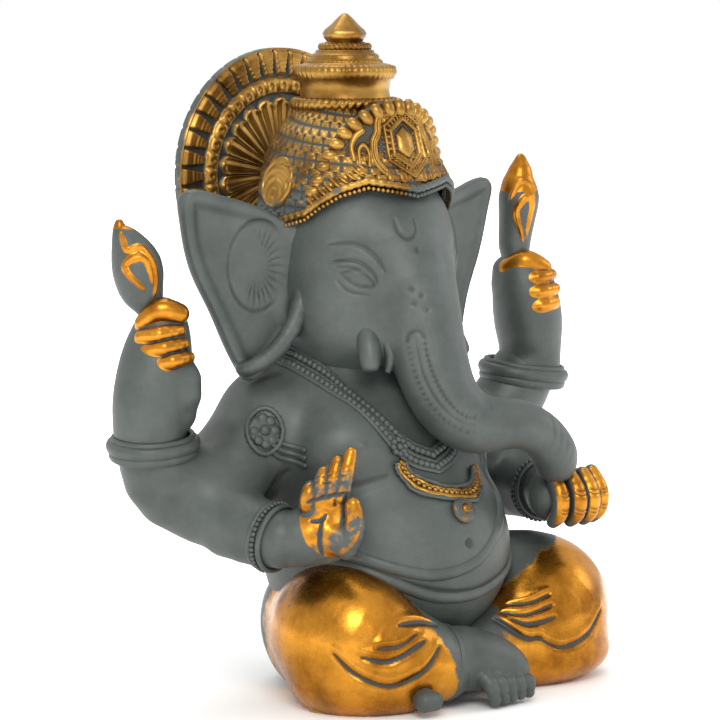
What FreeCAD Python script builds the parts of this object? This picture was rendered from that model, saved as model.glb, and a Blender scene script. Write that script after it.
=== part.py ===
"""Seated elephant-headed figure, cast brass, built as separate castings held on one tie rod.

Frame: millimetres, +Z up, the figure faces -Y and its own right hand is on the -X side.
The origin is on the flat underside, on the axis of the tie rod that runs up to the crown.
The hollow torso stands on a base plate. The head sits on the torso, the crown on the head, and the
finial screws on to the rod and clamps them. Arms, hands, ears, legs and ornaments are pinned castings.
"""

import FreeCAD, Part

import math
import os
import re

import Sketcher
from FreeCAD import Placement, Rotation, Vector

doc = FreeCAD.newDocument("SeatedElephantFigure")
sheet = doc.addObject("Spreadsheet::Sheet", "Sizes")

# Driving dimensions: alias, value in millimetres (or a plain count), what it is.
DIMENSIONS = [
    ("total_height", 222, "underside to the tip of the finial"),
    ("wall", 4, "thickness of the hollow castings"),
    ("felt_thickness", 2, "felt pad under the base plate"),
    ("plate_thickness", 5, "brass base plate"),
    ("plate_half_width", 33, "base plate across the figure"),
    ("plate_half_depth", 30, "base plate front to back"),
    ("seat_shift_x", 4, "the seat and belly sit this far to the figure's left"),
    ("seat_shift_y", -14, "centre of the base plate"),
    ("belly_radius", 44, "widest section of the belly"),
    ("neck_height", 116, "flat on which the head stands"),
    ("neck_radius", 25, "neck, where the head stands on it"),
    ("head_radius", 30.5, "temples, brow and nape"),
    ("head_shift_y", -6, "the head leans forward of the rod"),
    ("crown_radius", 34, "rim of the crown"),
    ("crown_rim_height", 153, "height of the rim at the sides"),
    ("crown_wall", 3.5, "thickness of the crown"),
    ("finial_radius", 17.5, "large ring of the finial"),
    ("bud_radius", 7.6, "bud at the top"),
    ("halo_radius", 38, "fan disc behind the head, to the roots of its petals"),
    ("halo_petal_radius", 5.2, "round end of one petal"),
    ("halo_petal_count", 22, "petals round the disc"),
    ("halo_thickness", 4, "fan disc"),
    ("halo_height", 168, "height of its centre"),
    ("halo_front_y", 31, "its front face"),
    ("halo_stud_radius", 3, "stud that holds the fan to the crown"),
    ("ear_thickness", 5, "ear casting"),
    ("tusk_radius", 4.4, "root of a tusk"),
    ("tusk_tip_radius", 2.6, "broken tip of a tusk"),
    ("tusk_length", 13, "tusk"),
    ("bangle_width", 8, "ring on a rear wrist"),
    ("bangle_height", 2.6, "how far a ring stands out from the limb"),
    ("armlet_height", 1.8, "how far an arm ornament stands out"),
    ("strand_height", 1.6, "how far necklaces and belly bands stand out"),
    ("strand_width", 3.4, "width of one of them"),
    ("rod_radius", 2.5, "M5 tie rod"),
    ("rod_clearance", 0.2, "radial gap round the rod"),
    ("nut_flats", 8, "across the flats of the tie nut"),
    ("nut_height", 2.7, "thin tie nut"),
    ("recess_radius", 5.5, "recess for the nut in the base plate"),
    ("screw_radius", 1.25, "M2.5 plate screws"),
    ("screw_length", 9, "under the head"),
    ("screw_head_radius", 2.4, "countersunk head"),
    ("screw_count", 3, "plate screws"),
    ("dowel_radius", 2, "steel dowel at an arm's root or in a thigh"),
    ("dowel_length", 12, "the same dowel"),
    ("pin_radius", 1.5, "steel pin at a wrist"),
    ("pin_length", 10, "the same pin"),
    ("plug_radius", 6, "plug in the core hole under a knee"),
    ("stem_radius", 2.2, "stem of an emblem inside its fist"),
]

# Stations of the limbs: name, x, y, z and the radius of the limb there.
STATIONS = [
    ("right_shoulder_rear", -34, 6, 90, 13), ("right_root_rear", -51, 5, 76, 13),
    ("right_elbow_rear", -65, 3, 70, 14), ("right_forearm_rear", -75, 1, 75, 13),
    ("right_wrist_rear", -80, 0, 86, 11.5), ("right_palm_rear", -80, -1, 103, 12.5),
    ("right_fist_rear", -77, 0, 117, 10),
    ("left_shoulder_rear", 34, 6, 90, 13), ("left_root_rear", 50, 6, 79, 13),
    ("left_elbow_rear", 63, 6, 77, 13), ("left_forearm_rear", 74, 3, 86, 12.2),
    ("left_wrist_rear", 82, 1, 97, 11.4), ("left_palm_rear", 84, 0, 114, 12),
    ("left_fist_rear", 82, 1, 127, 10.5),
    ("right_shoulder_front", -36, -4, 86, 12), ("right_root_front", -50, -5, 76, 12.5),
    ("right_elbow_front", -60, -9, 61, 12.3), ("right_forearm_front", -58, -24, 57, 10.8),
    ("right_wrist_front", -55.5, -34, 54.5, 9.5),
    ("left_shoulder_front", 36, -4, 87, 12), ("left_root_front", 50, -5, 77, 12.5),
    ("left_elbow_front", 62, -10, 62, 12.3), ("left_forearm_front", 60, -26, 58, 10.8),
    ("left_wrist_front", 58, -38, 57, 9.5),
    ("right_yoke", -33, 2, 91, 16), ("middle_yoke", 0, 0, 92, 22), ("left_yoke", 33, 2, 92, 16),
    ("trunk_root", 0, -27, 142, 14), ("trunk_bridge", 0, -36, 126, 13),
    ("trunk_middle", 0, -42, 110, 11.5), ("trunk_bend", 4, -47, 96, 10.5),
    ("trunk_low", 13, -52, 88, 9.5), ("trunk_rise", 25, -56, 88, 8),
    ("trunk_arch", 36, -60, 86, 7.2), ("trunk_fall", 45, -62, 79, 7.2),
    ("trunk_tip", 50, -62, 71.5, 7.5),
    ("right_hip", -14, 2, 22, 19), ("right_knee", -39, -38, 23, 22.5),
    ("right_shin", -24, -53, 16, 16), ("right_ankle", -6, -60, 13, 10.5),
    ("left_hip", 24, 2, 22, 19), ("left_knee", 54, -38, 23, 23),
    ("left_shin", 34, -42, 16, 16), ("left_ankle", 17, -46, 12, 11),
    ("right_instep", 10, -67, 9, 8.5), ("right_toes", 23, -70, 6, 6.5),
    ("left_toes", -9, -73, 4.5, 4),
]

FIRST_ROW = 2
BIG = 400  # larger than the whole figure, for cutting tools


def fill_sheet():
    """Writes the driving dimensions, then the stations, each cell with its alias."""
    sheet.set("A1", "name")
    sheet.set("B1", "value")
    row = FIRST_ROW
    for alias, value, meaning in DIMENSIONS:
        sheet.set(f"A{row}", alias)
        sheet.set(f"B{row}", str(value))
        sheet.set(f"C{row}", meaning)
        sheet.setAlias(f"B{row}", alias)
        row += 1
    for name, *values in STATIONS:
        sheet.set(f"A{row}", name)
        for column, suffix, value in zip("BCDE", ("x", "y", "z", "radius"), values):
            sheet.set(f"{column}{row}", str(value))
            sheet.setAlias(f"{column}{row}", f"{name}_{suffix}")
        row += 1
    doc.recompute()


def mm(text):
    """Value of an expression of aliases, such as 'belly_radius - wall'."""
    return float(sheet.evalExpression(text))


def bind(item, prop, text):
    """Ties a property to an expression of the sheet's aliases."""
    item.setExpression(prop, re.sub(r"[a-z]\w{2,}", lambda word: "Sizes." + word[0], text))


def point(name):
    return Vector(mm(f"{name}_x"), mm(f"{name}_y"), mm(f"{name}_z"))


def turned(z_axis, x_axis=Vector(1, 0, 0)):
    """Rotation that takes +Z to z_axis, with +X as near to x_axis as it can be."""
    if abs(z_axis.getAngle(x_axis) % math.pi) < 0.01:
        x_axis = Vector(0, 0, 1)
    return Rotation(x_axis, Vector(), z_axis, "ZXY")


def new(kind, name, **sizes):
    """A document object whose sizes are bound to expressions."""
    item = doc.addObject(kind, name)
    for prop, text in sizes.items():
        bind(item, prop, text)
    return item


def fused(name, items):
    item = doc.addObject("Part::MultiFuse", name)
    item.Shapes = items
    return item


def cut(name, base, *tools):
    """Base less all the tools, which are fused first when there are several."""
    item = doc.addObject("Part::Cut", name)
    item.Base = base
    item.Tool = tools[0] if len(tools) == 1 else fused(f"{name}_tools", tools)
    return item


def common(name, base, tool):
    item = doc.addObject("Part::Common", name)
    item.Base = base
    item.Tool = tool
    return item


def ball(name, radius, place):
    item = new("Part::Sphere", name, Radius=radius)
    item.Placement = Placement(place, Rotation())
    return item


def egg(name, place, rotation, along, across, deep):
    """Ellipsoid: half length along its own Z, then along its X and its Y."""
    item = new("Part::Ellipsoid", name, Radius1=along, Radius2=across, Radius3=deep)
    item.Placement = Placement(place, rotation)
    return item


def cone(name, low, high, low_radius, high_radius):
    """Cone or cylinder between two points."""
    item = new("Part::Cone", name, Radius1=low_radius, Radius2=high_radius)
    item.Height = (high - low).Length
    item.Placement = Placement(low, turned(high - low))
    return item


def limb(name, stations, round_start=False, round_end=False, grow="0"):
    """Tapered tube through named stations: a cone for each run and a ball at each bend.
    An end is flat, where it meets the next casting, unless it is rounded."""
    pieces = []
    for first, second in zip(stations, stations[1:]):
        swell = 1 if first == stations[0] else 1.01
        pieces.append(cone(f"{name}_{second}", point(first), point(second),
                           f"{first}_radius * {swell} + {grow}", f"{second}_radius + {grow}"))
    for station in stations[0 if round_start else 1:None if round_end else -1]:
        pieces.append(ball(f"{name}_{station}_ball", f"{station}_radius * 1.03 + {grow}", point(station)))
    return fused(name, pieces)


def block(name, low, high):
    """Box between two corners, used as a cutting tool."""
    item = doc.addObject("Part::Box", name)
    size = high - low
    item.Length, item.Width, item.Height = size.x, size.y, size.z
    item.Placement = Placement(low, Rotation())
    return item


def rod(name, radius, low, high):
    """Cylinder between two points."""
    item = new("Part::Cylinder", name, Radius=radius)
    item.Height = (high - low).Length
    item.Placement = Placement(low, turned(high - low))
    return item


def plane_of(body, role):
    return next(f for f in body.Origin.OriginFeatures if f.Role == role)


def sketch_in(body, name, role, offset=0):
    """Sketch on one of the body's own origin planes."""
    sketch = body.newObject("Sketcher::SketchObject", name)
    sketch.AttachmentSupport = [(plane_of(body, role), "")]
    sketch.MapMode = "FlatFace"
    sketch.AttachmentOffset = Placement(Vector(0, 0, offset), Rotation())
    return sketch


def outline(sketch, corners):
    """Closed polygon whose corners are bound to (x, y) expressions."""
    places = [Vector(mm(x), mm(y), 0) for x, y in corners]
    count = len(corners)
    for number in range(count):
        sketch.addGeometry(Part.LineSegment(places[number], places[(number + 1) % count]), False)
    for number in range(count):
        after = (number + 1) % count
        sketch.addConstraint(Sketcher.Constraint("Coincident", number, 2, after, 1))
    for number, (x, y) in enumerate(corners):
        for kind, text, value in (("DistanceX", x, places[number].x), ("DistanceY", y, places[number].y)):
            index = sketch.addConstraint(Sketcher.Constraint(kind, -1, 1, number, 1, value))
            bind(sketch, f"Constraints[{index}]", text)


def circle_in(sketch, x, y, radius):
    """Circle bound to expressions for its centre and radius."""
    number = sketch.addGeometry(Part.Circle(Vector(mm(x), mm(y), 0), Vector(0, 0, 1), mm(radius)), False)
    for kind, text in (("DistanceX", x), ("DistanceY", y)):
        index = sketch.addConstraint(Sketcher.Constraint(kind, -1, 1, number, 3, mm(text)))
        bind(sketch, f"Constraints[{index}]", text)
    index = sketch.addConstraint(Sketcher.Constraint("Radius", number, mm(radius)))
    bind(sketch, f"Constraints[{index}]", radius)


def smooth_outline(sketch, places):
    """Closed smooth curve through the given places."""
    curve = Part.BSplineCurve()
    curve.interpolate([Vector(x, y, 0) for x, y in places], PeriodicFlag=True)
    sketch.addGeometry(curve, False)


def pad(body, sketch, length):
    feature = body.newObject("PartDesign::Pad", f"{body.Name}_pad")
    feature.Profile = sketch
    bind(feature, "Length", length)
    return feature


def lathe(name, profile, place=Vector(), z_axis=Vector(0, 0, 1)):
    """Body of revolution about its own Z from a closed (radius, height) outline."""
    body = doc.addObject("PartDesign::Body", name)
    sketch = sketch_in(body, f"{name}_profile", "XZ_Plane")
    outline(sketch, profile)
    turn = body.newObject("PartDesign::Revolution", f"{name}_turn")
    turn.Profile = sketch
    turn.ReferenceAxis = (sketch, ["V_Axis"])
    turn.Angle = 360
    body.Placement = Placement(place, turned(z_axis))
    return body


def band(name, low, high, bore):
    """Rounded ring round a limb, from low to high, with the limb's radius as its bore."""
    half = (high - low).Length / 2
    middle = (low + high) / 2
    shape = [(bore, -1), (f"{bore} + bangle_height * 0.7", -0.9), (f"{bore} + bangle_height", -0.45),
             (f"{bore} + bangle_height", 0.45), (f"{bore} + bangle_height * 0.7", 0.9), (bore, 1)]
    profile = [(radius, f"{share * half:.3f}") for radius, share in shape]
    return lathe(name, profile, middle, high - low)


# ---------------------------------------------------------------- torso and what it stands on


def belly_axis():
    """Where the belly's axis leaves the base plate, and the direction in which it leans up and back."""
    low = Vector(mm("seat_shift_x"), mm("seat_shift_y") - 5, mm("felt_thickness + plate_thickness"))
    return low, Vector(0, -1, mm("neck_height")) - low


def make_belly(name, grow, neck=True):
    """Belly and chest turned about the leaning axis, grown outwards, from under the plate to the neck."""
    rows = [("plate_half_width - 2", -8), ("plate_half_width + 5", 12), ("belly_radius - 1", 28),
            ("belly_radius", 42), ("belly_radius - 3", 60), ("belly_radius - 8", 76),
            ("belly_radius - 15", 92), ("neck_radius", 104), ("neck_radius - 3", 116)]
    rows = rows if neck else rows[:-2]
    profile = [("0", str(rows[0][1]))] + [(f"{radius} + {grow}", str(along)) for radius, along in rows]
    return lathe(name, profile + [("0", str(rows[-1][1]))], *belly_axis())


def make_body(name, grow):
    """Belly, chest and shoulders as one solid, grown outwards."""
    stations = ["right_yoke", "middle_yoke", "left_yoke"]
    yoke = limb(f"{name}_yoke", stations, round_start=True, round_end=True, grow=grow)
    return fused(f"{name}_whole", [make_belly(f"{name}_belly", grow), yoke])


def make_base():
    """Felt pad, base plate with its nut recess and screw holes, the nut and the screws."""
    felt = stack_of_plate("felt_pad", "0", "felt_thickness",
                          "plate_half_width - 0.5", "plate_half_depth - 0.5")
    blank = stack_of_plate("base_plate_blank", "felt_thickness", "plate_thickness",
                           "plate_half_width", "plate_half_depth")
    low = mm("felt_thickness")
    high = low + mm("plate_thickness")
    bore = rod("base_plate_bore", "rod_radius + rod_clearance",
               Vector(0, 0, low - 1), Vector(0, 0, high + 1))
    recess = rod("base_plate_recess", "recess_radius", Vector(0, 0, low - 1),
                 Vector(0, 0, low + mm("nut_height") + 0.3))
    tools = [bore, recess]
    screws = []
    for number in range(int(mm("screw_count"))):
        foot = screw_place(number, low)
        screws.append(make_screw(number, foot))
        tools.append(rod(f"base_plate_hole_{number}", "screw_radius", foot, foot + Vector(0, 0, 20)))
        neck = foot + Vector(0, 0, mm("screw_head_radius - screw_radius"))
        tools.append(cone(f"base_plate_sink_{number}", foot, neck, "screw_head_radius", "screw_radius"))
    plate = cut("base_plate", blank, *tools)
    nut = make_nut()
    screws = fused("plate_screws", screws)
    return {"felt_pad": felt, "base_plate": plate, "tie_nut": nut, "plate_screws": screws}


def stack_of_plate(name, low, thickness, width, depth):
    """Level oval plate centred under the seat."""
    ring = new("Part::Ellipse", f"{name}_rim", MajorRadius=width, MinorRadius=depth)
    ring.Placement = Placement(Vector(mm("seat_shift_x"), mm("seat_shift_y"), mm(low)), Rotation())
    item = doc.addObject("Part::Extrusion", name)
    item.Base = ring
    item.Dir = Vector(0, 0, 1)
    item.Solid = True
    bind(item, "LengthFwd", thickness)
    return item


def screw_place(number, height):
    """Centre of a plate screw: evenly spaced round the torso's wall."""
    angle = math.radians(90 + 360 * number / mm("screw_count"))
    inset = mm("wall / 2")
    return Vector(mm("seat_shift_x") + (mm("plate_half_width") - inset) * math.cos(angle),
                  mm("seat_shift_y") + (mm("plate_half_depth") - inset) * math.sin(angle), height)


def make_screw(number, foot):
    """Countersunk screw pointing up, its head flush with the plate's underside."""
    neck = "screw_head_radius - screw_radius"
    profile = [("0", "0"), ("screw_head_radius", "0"), ("screw_radius", neck),
               ("screw_radius", "screw_length"), ("0", "screw_length")]
    return lathe(f"plate_screw_{number}", profile, foot)


def make_nut():
    """Thin hexagon nut with the rod's thread as a plain bore."""
    body = doc.addObject("PartDesign::Body", "tie_nut")
    sketch = sketch_in(body, "tie_nut_outline", "XY_Plane")
    corners = []
    for side in range(6):
        angle = math.radians(60 * side)
        across, along = math.cos(angle), math.sin(angle)
        corners.append((f"nut_flats / 1.732 * {across:.6f}", f"nut_flats / 1.732 * {along:.6f}"))
    outline(sketch, corners)
    circle_in(sketch, "0", "0", "rod_radius")
    pad(body, sketch, "nut_height")
    body.Placement = Placement(Vector(0, 0, mm("felt_thickness + 0.3")), Rotation())
    return body


def make_torso():
    """Hollow torso with its shoulders, open below on the plate, bored for rod, screws and dowels."""
    floor = mm("felt_thickness + plate_thickness")
    neck = mm("neck_height")
    shoulders = []
    for side in ("right", "left"):
        for level in ("rear", "front"):
            stations = [f"{side}_shoulder_{level}", f"{side}_root_{level}"]
            shoulders.append(limb(f"{side}_{level}_shoulder", stations, round_end=True))
    whole = fused("torso_whole_with_shoulders", [make_body("torso", "0"), *shoulders])
    room = block("torso_room", Vector(-BIG, -BIG, floor), Vector(BIG, BIG, neck))
    outside = common("torso_outside", whole, room)
    inside = make_belly("torso_inside", "wall * -1", neck=False)
    rod_hole = rod("torso_rod_hole", "rod_radius + rod_clearance", Vector(0, 0, 80), Vector(0, 0, 130))
    tools = [inside, rod_hole]
    for number in range(int(mm("screw_count"))):
        tools.append(rod(f"torso_screw_hole_{number}", "screw_radius", screw_place(number, floor - 1),
                         screw_place(number, mm("felt_thickness + screw_length"))))
    for side in ("right", "left"):
        for level in ("front", "rear"):
            tools.append(dowel(f"torso_{side}_{level}_socket", side, level))
        tools.append(leg_dowel(f"torso_{side}_leg_socket", side))
    return outside, cut("torso_casting", outside, *tools)


def dowel(name, side, level):
    """Steel dowel across an arm's root, half in the shoulder and half in the arm."""
    root = point(f"{side}_root_{level}")
    half = (root - point(f"{side}_shoulder_{level}")).normalize() * mm("dowel_length / 2")
    return rod(name, "dowel_radius", root - half, root + half)


def leg_dowel(name, side):
    """Steel dowel through the torso's wall into the thigh."""
    hand = -1 if side == "right" else 1
    start = Vector(mm("seat_shift_x") + hand * mm("plate_half_width"), -16, 22)
    end = start + Vector(hand * mm("dowel_length"), 0, 0)
    return rod(name, "dowel_radius", start - Vector(hand * 2, 0, 0), end)


def wrist_pin(name, side, level):
    """Steel pin along the wrist, half in the arm and half in the hand."""
    wrist = point(f"{side}_wrist_{level}")
    along = (wrist - point(f"{side}_forearm_{level}")).normalize() * mm("pin_length / 2")
    return rod(name, "pin_radius", wrist - along, wrist + along)


def make_strand(name, centre, tilt, body, *others):
    """Band that lies on the body where a tilted slab cuts it: tilt in degrees, front edge down."""
    slab = block(f"{name}_slab", Vector(-BIG, -BIG, 0), Vector(BIG, BIG, mm("strand_width")))
    lean = Rotation(Vector(1, 0, 0), tilt)
    middle = lean.multVec(Vector(-BIG, -BIG, -mm("strand_width") / 2))
    slab.Placement = Placement(centre + middle, lean)
    blank = common(f"{name}_blank", make_body(f"{name}_skin", "strand_height"), slab)
    return cut(name, blank, body, *others)


# ---------------------------------------------------------------- head, crown and fan


def make_head():
    """Head with the trunk, hollow round the rod. Its top steps in to carry the crown."""
    rows = [("neck_radius - 4", 0), ("head_radius - 4", 7), ("head_radius", 18), ("head_radius + 0.5", 30),
            ("head_radius - 1.5", 42), ("head_radius - 9", 54)]
    profile = [("0", "0")] + [(radius, str(along)) for radius, along in rows] + [("0", "54")]
    skull = lathe("head_skull", profile, Vector(0, mm("head_shift_y"), mm("neck_height")))
    trunk = limb("head_trunk", ["trunk_root", "trunk_bridge", "trunk_middle", "trunk_bend", "trunk_low",
                                "trunk_rise", "trunk_arch", "trunk_fall", "trunk_tip"], round_end=True)
    outside = fused("head_outside", [skull, trunk])
    hollow = ball("head_hollow", "head_radius - wall", Vector(0, mm("head_shift_y"), 144))
    hole = rod("head_rod_hole", "rod_radius + rod_clearance", Vector(0, 0, 100), Vector(0, 0, 190))
    return skull, outside, cut("head_casting", outside, hollow, hole)


def make_ear(side, outside):
    """Broad ear plate, its root trimmed to the head."""
    name = f"{side}_ear"
    body = doc.addObject("PartDesign::Body", f"{name}_blank")
    sketch = sketch_in(body, f"{name}_outline", "XZ_Plane")
    hand = -1 if side == "right" else 1
    rim = [(24, 150), (40, 157), (55, 163), (68, 167), (67, 154), (64, 137), (56, 122),
           (47, 107), (40, 107), (34, 112), (28, 118), (23, 132)]
    smooth_outline(sketch, [(hand * x, z) for x, z in rim])
    pad(body, sketch, "ear_thickness")
    body.Placement = Placement(Vector(0, -8, 0), Rotation(Vector(0, 0, 1), hand * 11))
    return cut(name, body, outside)


def make_tusk(side):
    """Short blunt tusk beside the trunk's root."""
    hand = -1 if side == "right" else 1
    root = Vector(hand * 14, -31, 115)
    tip = root + Vector(hand * 2, -5, -11).normalize() * mm("tusk_length - tusk_tip_radius")
    shaft = cone(f"{side}_tusk_shaft", root, tip, "tusk_radius", "tusk_tip_radius")
    return fused(f"{side}_tusk_blank", [shaft, ball(f"{side}_tusk_end", "tusk_tip_radius * 1.01", tip)])


def make_crown():
    """Crown bowl, a turned shell with a flat top, bored for the rod."""
    rim, top = "crown_rim_height", "crown_rim_height + 33"
    profile = [
        ("crown_radius", rim), ("crown_radius + 1", f"{rim} + 5"), ("crown_radius - 1", f"{rim} + 12"),
        ("crown_radius - 6", f"{rim} + 21"), ("crown_radius - 13", f"{rim} + 28"), ("15.5", top),
        ("rod_radius + rod_clearance", top), ("rod_radius + rod_clearance", f"{top} - crown_wall * 1.5"),
        ("crown_radius - 13 - crown_wall", f"{rim} + 25"), ("crown_radius - 6 - crown_wall", f"{rim} + 18"),
        ("crown_radius - 1 - crown_wall", f"{rim} + 10"), ("crown_radius - crown_wall", rim),
    ]
    return lathe("crown_bowl_blank", profile)


def make_finial():
    """Stepped finial with a bud, whose blind bore takes the rod's top."""
    foot = "crown_rim_height + 33"
    profile = [
        ("rod_radius", foot), ("15", foot), ("15.5", f"{foot} + 5"), ("finial_radius", f"{foot} + 8"),
        ("finial_radius", f"{foot} + 10.5"), ("finial_radius - 5", f"{foot} + 13"), ("11", f"{foot} + 16"),
        ("10.5", f"{foot} + 18.5"), ("5.2", f"{foot} + 19.5"), ("bud_radius", "total_height - 11"),
        ("bud_radius - 1.4", "total_height - 7"), ("0.8", "total_height"), ("0", "total_height"),
        ("0", f"{foot} + 13"), ("rod_radius", f"{foot} + 12"),
    ]
    return lathe("crown_finial", profile)


def make_halo():
    """Fan disc with a ring of round-ended petals, bored for its stud."""
    body = doc.addObject("PartDesign::Body", "halo_fan_disc")
    disc = sketch_in(body, "halo_disc", "XY_Plane")
    circle_in(disc, "0", "0", "halo_radius")
    circle_in(disc, "0", "0", "halo_stud_radius")
    pad(body, disc, "halo_thickness")
    petal = sketch_in(body, "halo_petal", "XY_Plane")
    circle_in(petal, "0", "halo_radius - 0.8", "halo_petal_radius")
    petal_pad = body.newObject("PartDesign::Pad", "halo_petal_pad")
    petal_pad.Profile = petal
    bind(petal_pad, "Length", "halo_thickness")
    doc.recompute()
    pattern = body.newObject("PartDesign::PolarPattern", "halo_petals")
    pattern.Originals = [petal_pad]
    pattern.Axis = (disc, ["N_Axis"])
    pattern.Angle = 360
    bind(pattern, "Occurrences", "halo_petal_count")
    body.Tip = pattern
    place = Vector(0, mm("halo_front_y + halo_thickness"), mm("halo_height"))
    body.Placement = Placement(place, Rotation(Vector(1, 0, 0), 90))
    return body


def make_rim(crown_solid, head):
    """Rope band that arches over the brow, below the crown."""
    ring = new("Part::Torus", "crown_rim_ring", Radius1="crown_radius - 1", Radius2="3")
    lift = Rotation(Vector(1, 0, 0), -9)
    ring.Placement = Placement(Vector(0, mm("head_shift_y") + 2, mm("crown_rim_height") - 1), lift)
    return cut("crown_rim_band", ring, crown_solid, head)


def make_boss(name, place, outward, radius, crown):
    """Round boss standing on the crown's outer wall."""
    outward = outward.normalize()
    disc = rod(f"{name}_disc", radius, place - outward * 2.4, place + outward * 3)
    return cut(name, disc, crown)


# ---------------------------------------------------------------- arms, hands and what they hold


def make_arm(side, level, *others):
    """Arm from its root on the shoulder round the elbow to the flat joint at the wrist."""
    stations = [f"{side}_{part}_{level}" for part in ("root", "elbow", "forearm", "wrist")]
    return cut(f"{side}_{level}_arm_blank", limb(f"{side}_{level}_arm_limb", stations), *others)


def make_wrist_ring(side, level, sleeve):
    """Ring over the joint between arm and hand: low and high ends along the wrist."""
    wrist = point(f"{side}_wrist_{level}")
    along = (wrist - point(f"{side}_forearm_{level}")).normalize()
    half = mm(sleeve) / 2
    radius = f"{side}_wrist_{level}_radius"
    return band(f"{side}_{level}_bangle", wrist - along * half, wrist + along * half, radius)


def make_fist(side):
    """Closed rear hand from the wrist up, with a flat foot on the arm."""
    return limb(f"{side}_rear_hand", [f"{side}_wrist_rear", f"{side}_palm_rear", f"{side}_fist_rear"],
                round_end=True)


def make_implement(side, hand):
    """Held emblem: a leaf-shaped blade with a spiked knob, its stem in the fist."""
    fist = point(f"{side}_fist_rear")
    lean = Vector(-6, 6, 32) if side == "right" else Vector(-1, 4, 38)
    tip = fist + lean * 1.24
    middle = fist + lean * 0.62
    axis = turned(lean)
    blade = egg(f"{side}_implement_blade", middle, axis, "15", "6.8", "4.6")
    spike = cone(f"{side}_implement_spike", middle + lean * 0.3, tip, "4.2", "0.9")
    above = cut(f"{side}_implement_above", fused(f"{side}_implement_blank", [blade, spike]), hand)
    return fused(f"{side}_implement", [above, make_stem(f"{side}_stem", side, middle)])


def make_stem(name, side, end):
    """Stem of the emblem, from inside the fist up to end."""
    return rod(name, "stem_radius", point(f"{side}_fist_rear"), end)


def make_open_hand():
    """Raised front right hand, palm forward: palm, four fingers and a thumb."""
    wrist = point("right_wrist_front")
    palm = egg("right_palm", Vector(-49, -49, 60), turned(Vector(0.12, -0.28, 1)), "14", "11.5", "6.5")
    heel = limb_between("right_palm_heel", wrist, Vector(-51, -45, 55), "right_wrist_front_radius", "8")
    pieces = [palm, heel]
    tips = [(-55.5, -54, 76), (-50.5, -56, 82), (-45.5, -56.5, 83.5), (-40.5, -55.5, 79)]
    for number, tip in enumerate(tips):
        root = Vector(tip[0] * 0.98, -51, 66)
        pieces += finger(f"right_finger_{number}", root, Vector(*tip), 3.2)
    pieces += finger("right_thumb", Vector(-42, -51, 56), Vector(-36.5, -55, 68), 3.6)
    return fused("right_front_hand_blank", pieces)


def make_giving_hand():
    """Front left hand, held out under the end of the trunk with the fingers turned down in front."""
    wrist = point("left_wrist_front")
    palm = egg("left_palm", Vector(57, -52, 57), turned(Vector(-0.1, -1, 0.1)), "13", "11", "9")
    heel = limb_between("left_palm_heel", wrist, Vector(57, -47, 56), "left_wrist_front_radius", "9")
    pieces = [palm, heel]
    for number in range(4):
        x = 49.5 + number * 5
        y = -60.5 + abs(number - 1.5) * 1.2
        pieces += finger(f"left_finger_{number}", Vector(x, y, 63), Vector(x, y - 1.2, 50.5), 3.1)
    pieces += finger("left_thumb", Vector(66, -50, 60), Vector(66, -57, 65), 3.3)
    return fused("left_front_hand_blank", pieces)


def limb_between(name, low, high, low_radius, high_radius):
    return fused(name, [cone(f"{name}_run", low, high, low_radius, high_radius),
                        ball(f"{name}_ball", f"{high_radius} * 1.03", high)])


def finger(name, root, tip, radius):
    """Finger with a round tip and a root buried in the palm."""
    return [cone(f"{name}_bone", root, tip, str(radius), str(radius * 0.85)),
            ball(f"{name}_tip", str(radius * 0.87), tip)]


def make_armlet(side, *others):
    """Oval ornament on the outer front of the upper arm."""
    hand = -1 if side == "right" else 1
    shoulder, elbow = point(f"{side}_shoulder_front"), point(f"{side}_elbow_front")
    outward = Vector(hand * 0.55, -0.8, 0.2).normalize()
    place = shoulder + (elbow - shoulder) * 0.6 + outward * (mm(f"{side}_elbow_front_radius") - 3)
    rotation = turned(outward, elbow - shoulder)
    plate = egg(f"{side}_armlet_plate", place, rotation, "3 + armlet_height", "9", "7.5")
    return cut(f"{side}_armlet", plate, *others)


# ---------------------------------------------------------------- legs and feet


def make_leg(side, below, *others):
    """Folded leg in its loose cloth: thigh, knee and shin, flat where it rests, hollow inside the knee
    with a core hole below it."""
    thigh = limb(f"{side}_thigh", [f"{side}_hip", f"{side}_knee"], round_start=True, round_end=True)
    shin = limb(f"{side}_shin_limb", [f"{side}_knee", f"{side}_shin", f"{side}_ankle"], round_start=True)
    hollow = ball(f"{side}_knee_hollow", f"{side}_knee_radius - wall * 1.3", point(f"{side}_knee"))
    hole = core_plug(f"{side}_core_hole", side)
    outside = fused(f"{side}_leg_outside", [thigh, shin])
    return cut(f"{side}_leg_blank", outside, hollow, hole, below, *others)


def core_plug(name, side):
    """Plug that closes the core hole under the knee, flush with the underside."""
    foot = point(f"{side}_knee")
    foot.z = 0
    return rod(name, "plug_radius", foot, foot + Vector(0, 0, mm("wall * 1.8")))


def make_foot(below):
    """Right foot, which crosses in front of the other leg."""
    sole = limb("right_foot_limb", ["right_ankle", "right_instep", "right_toes"], round_end=True)
    return cut("right_foot_blank", sole, below)


# ---------------------------------------------------------------- the whole figure


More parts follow.
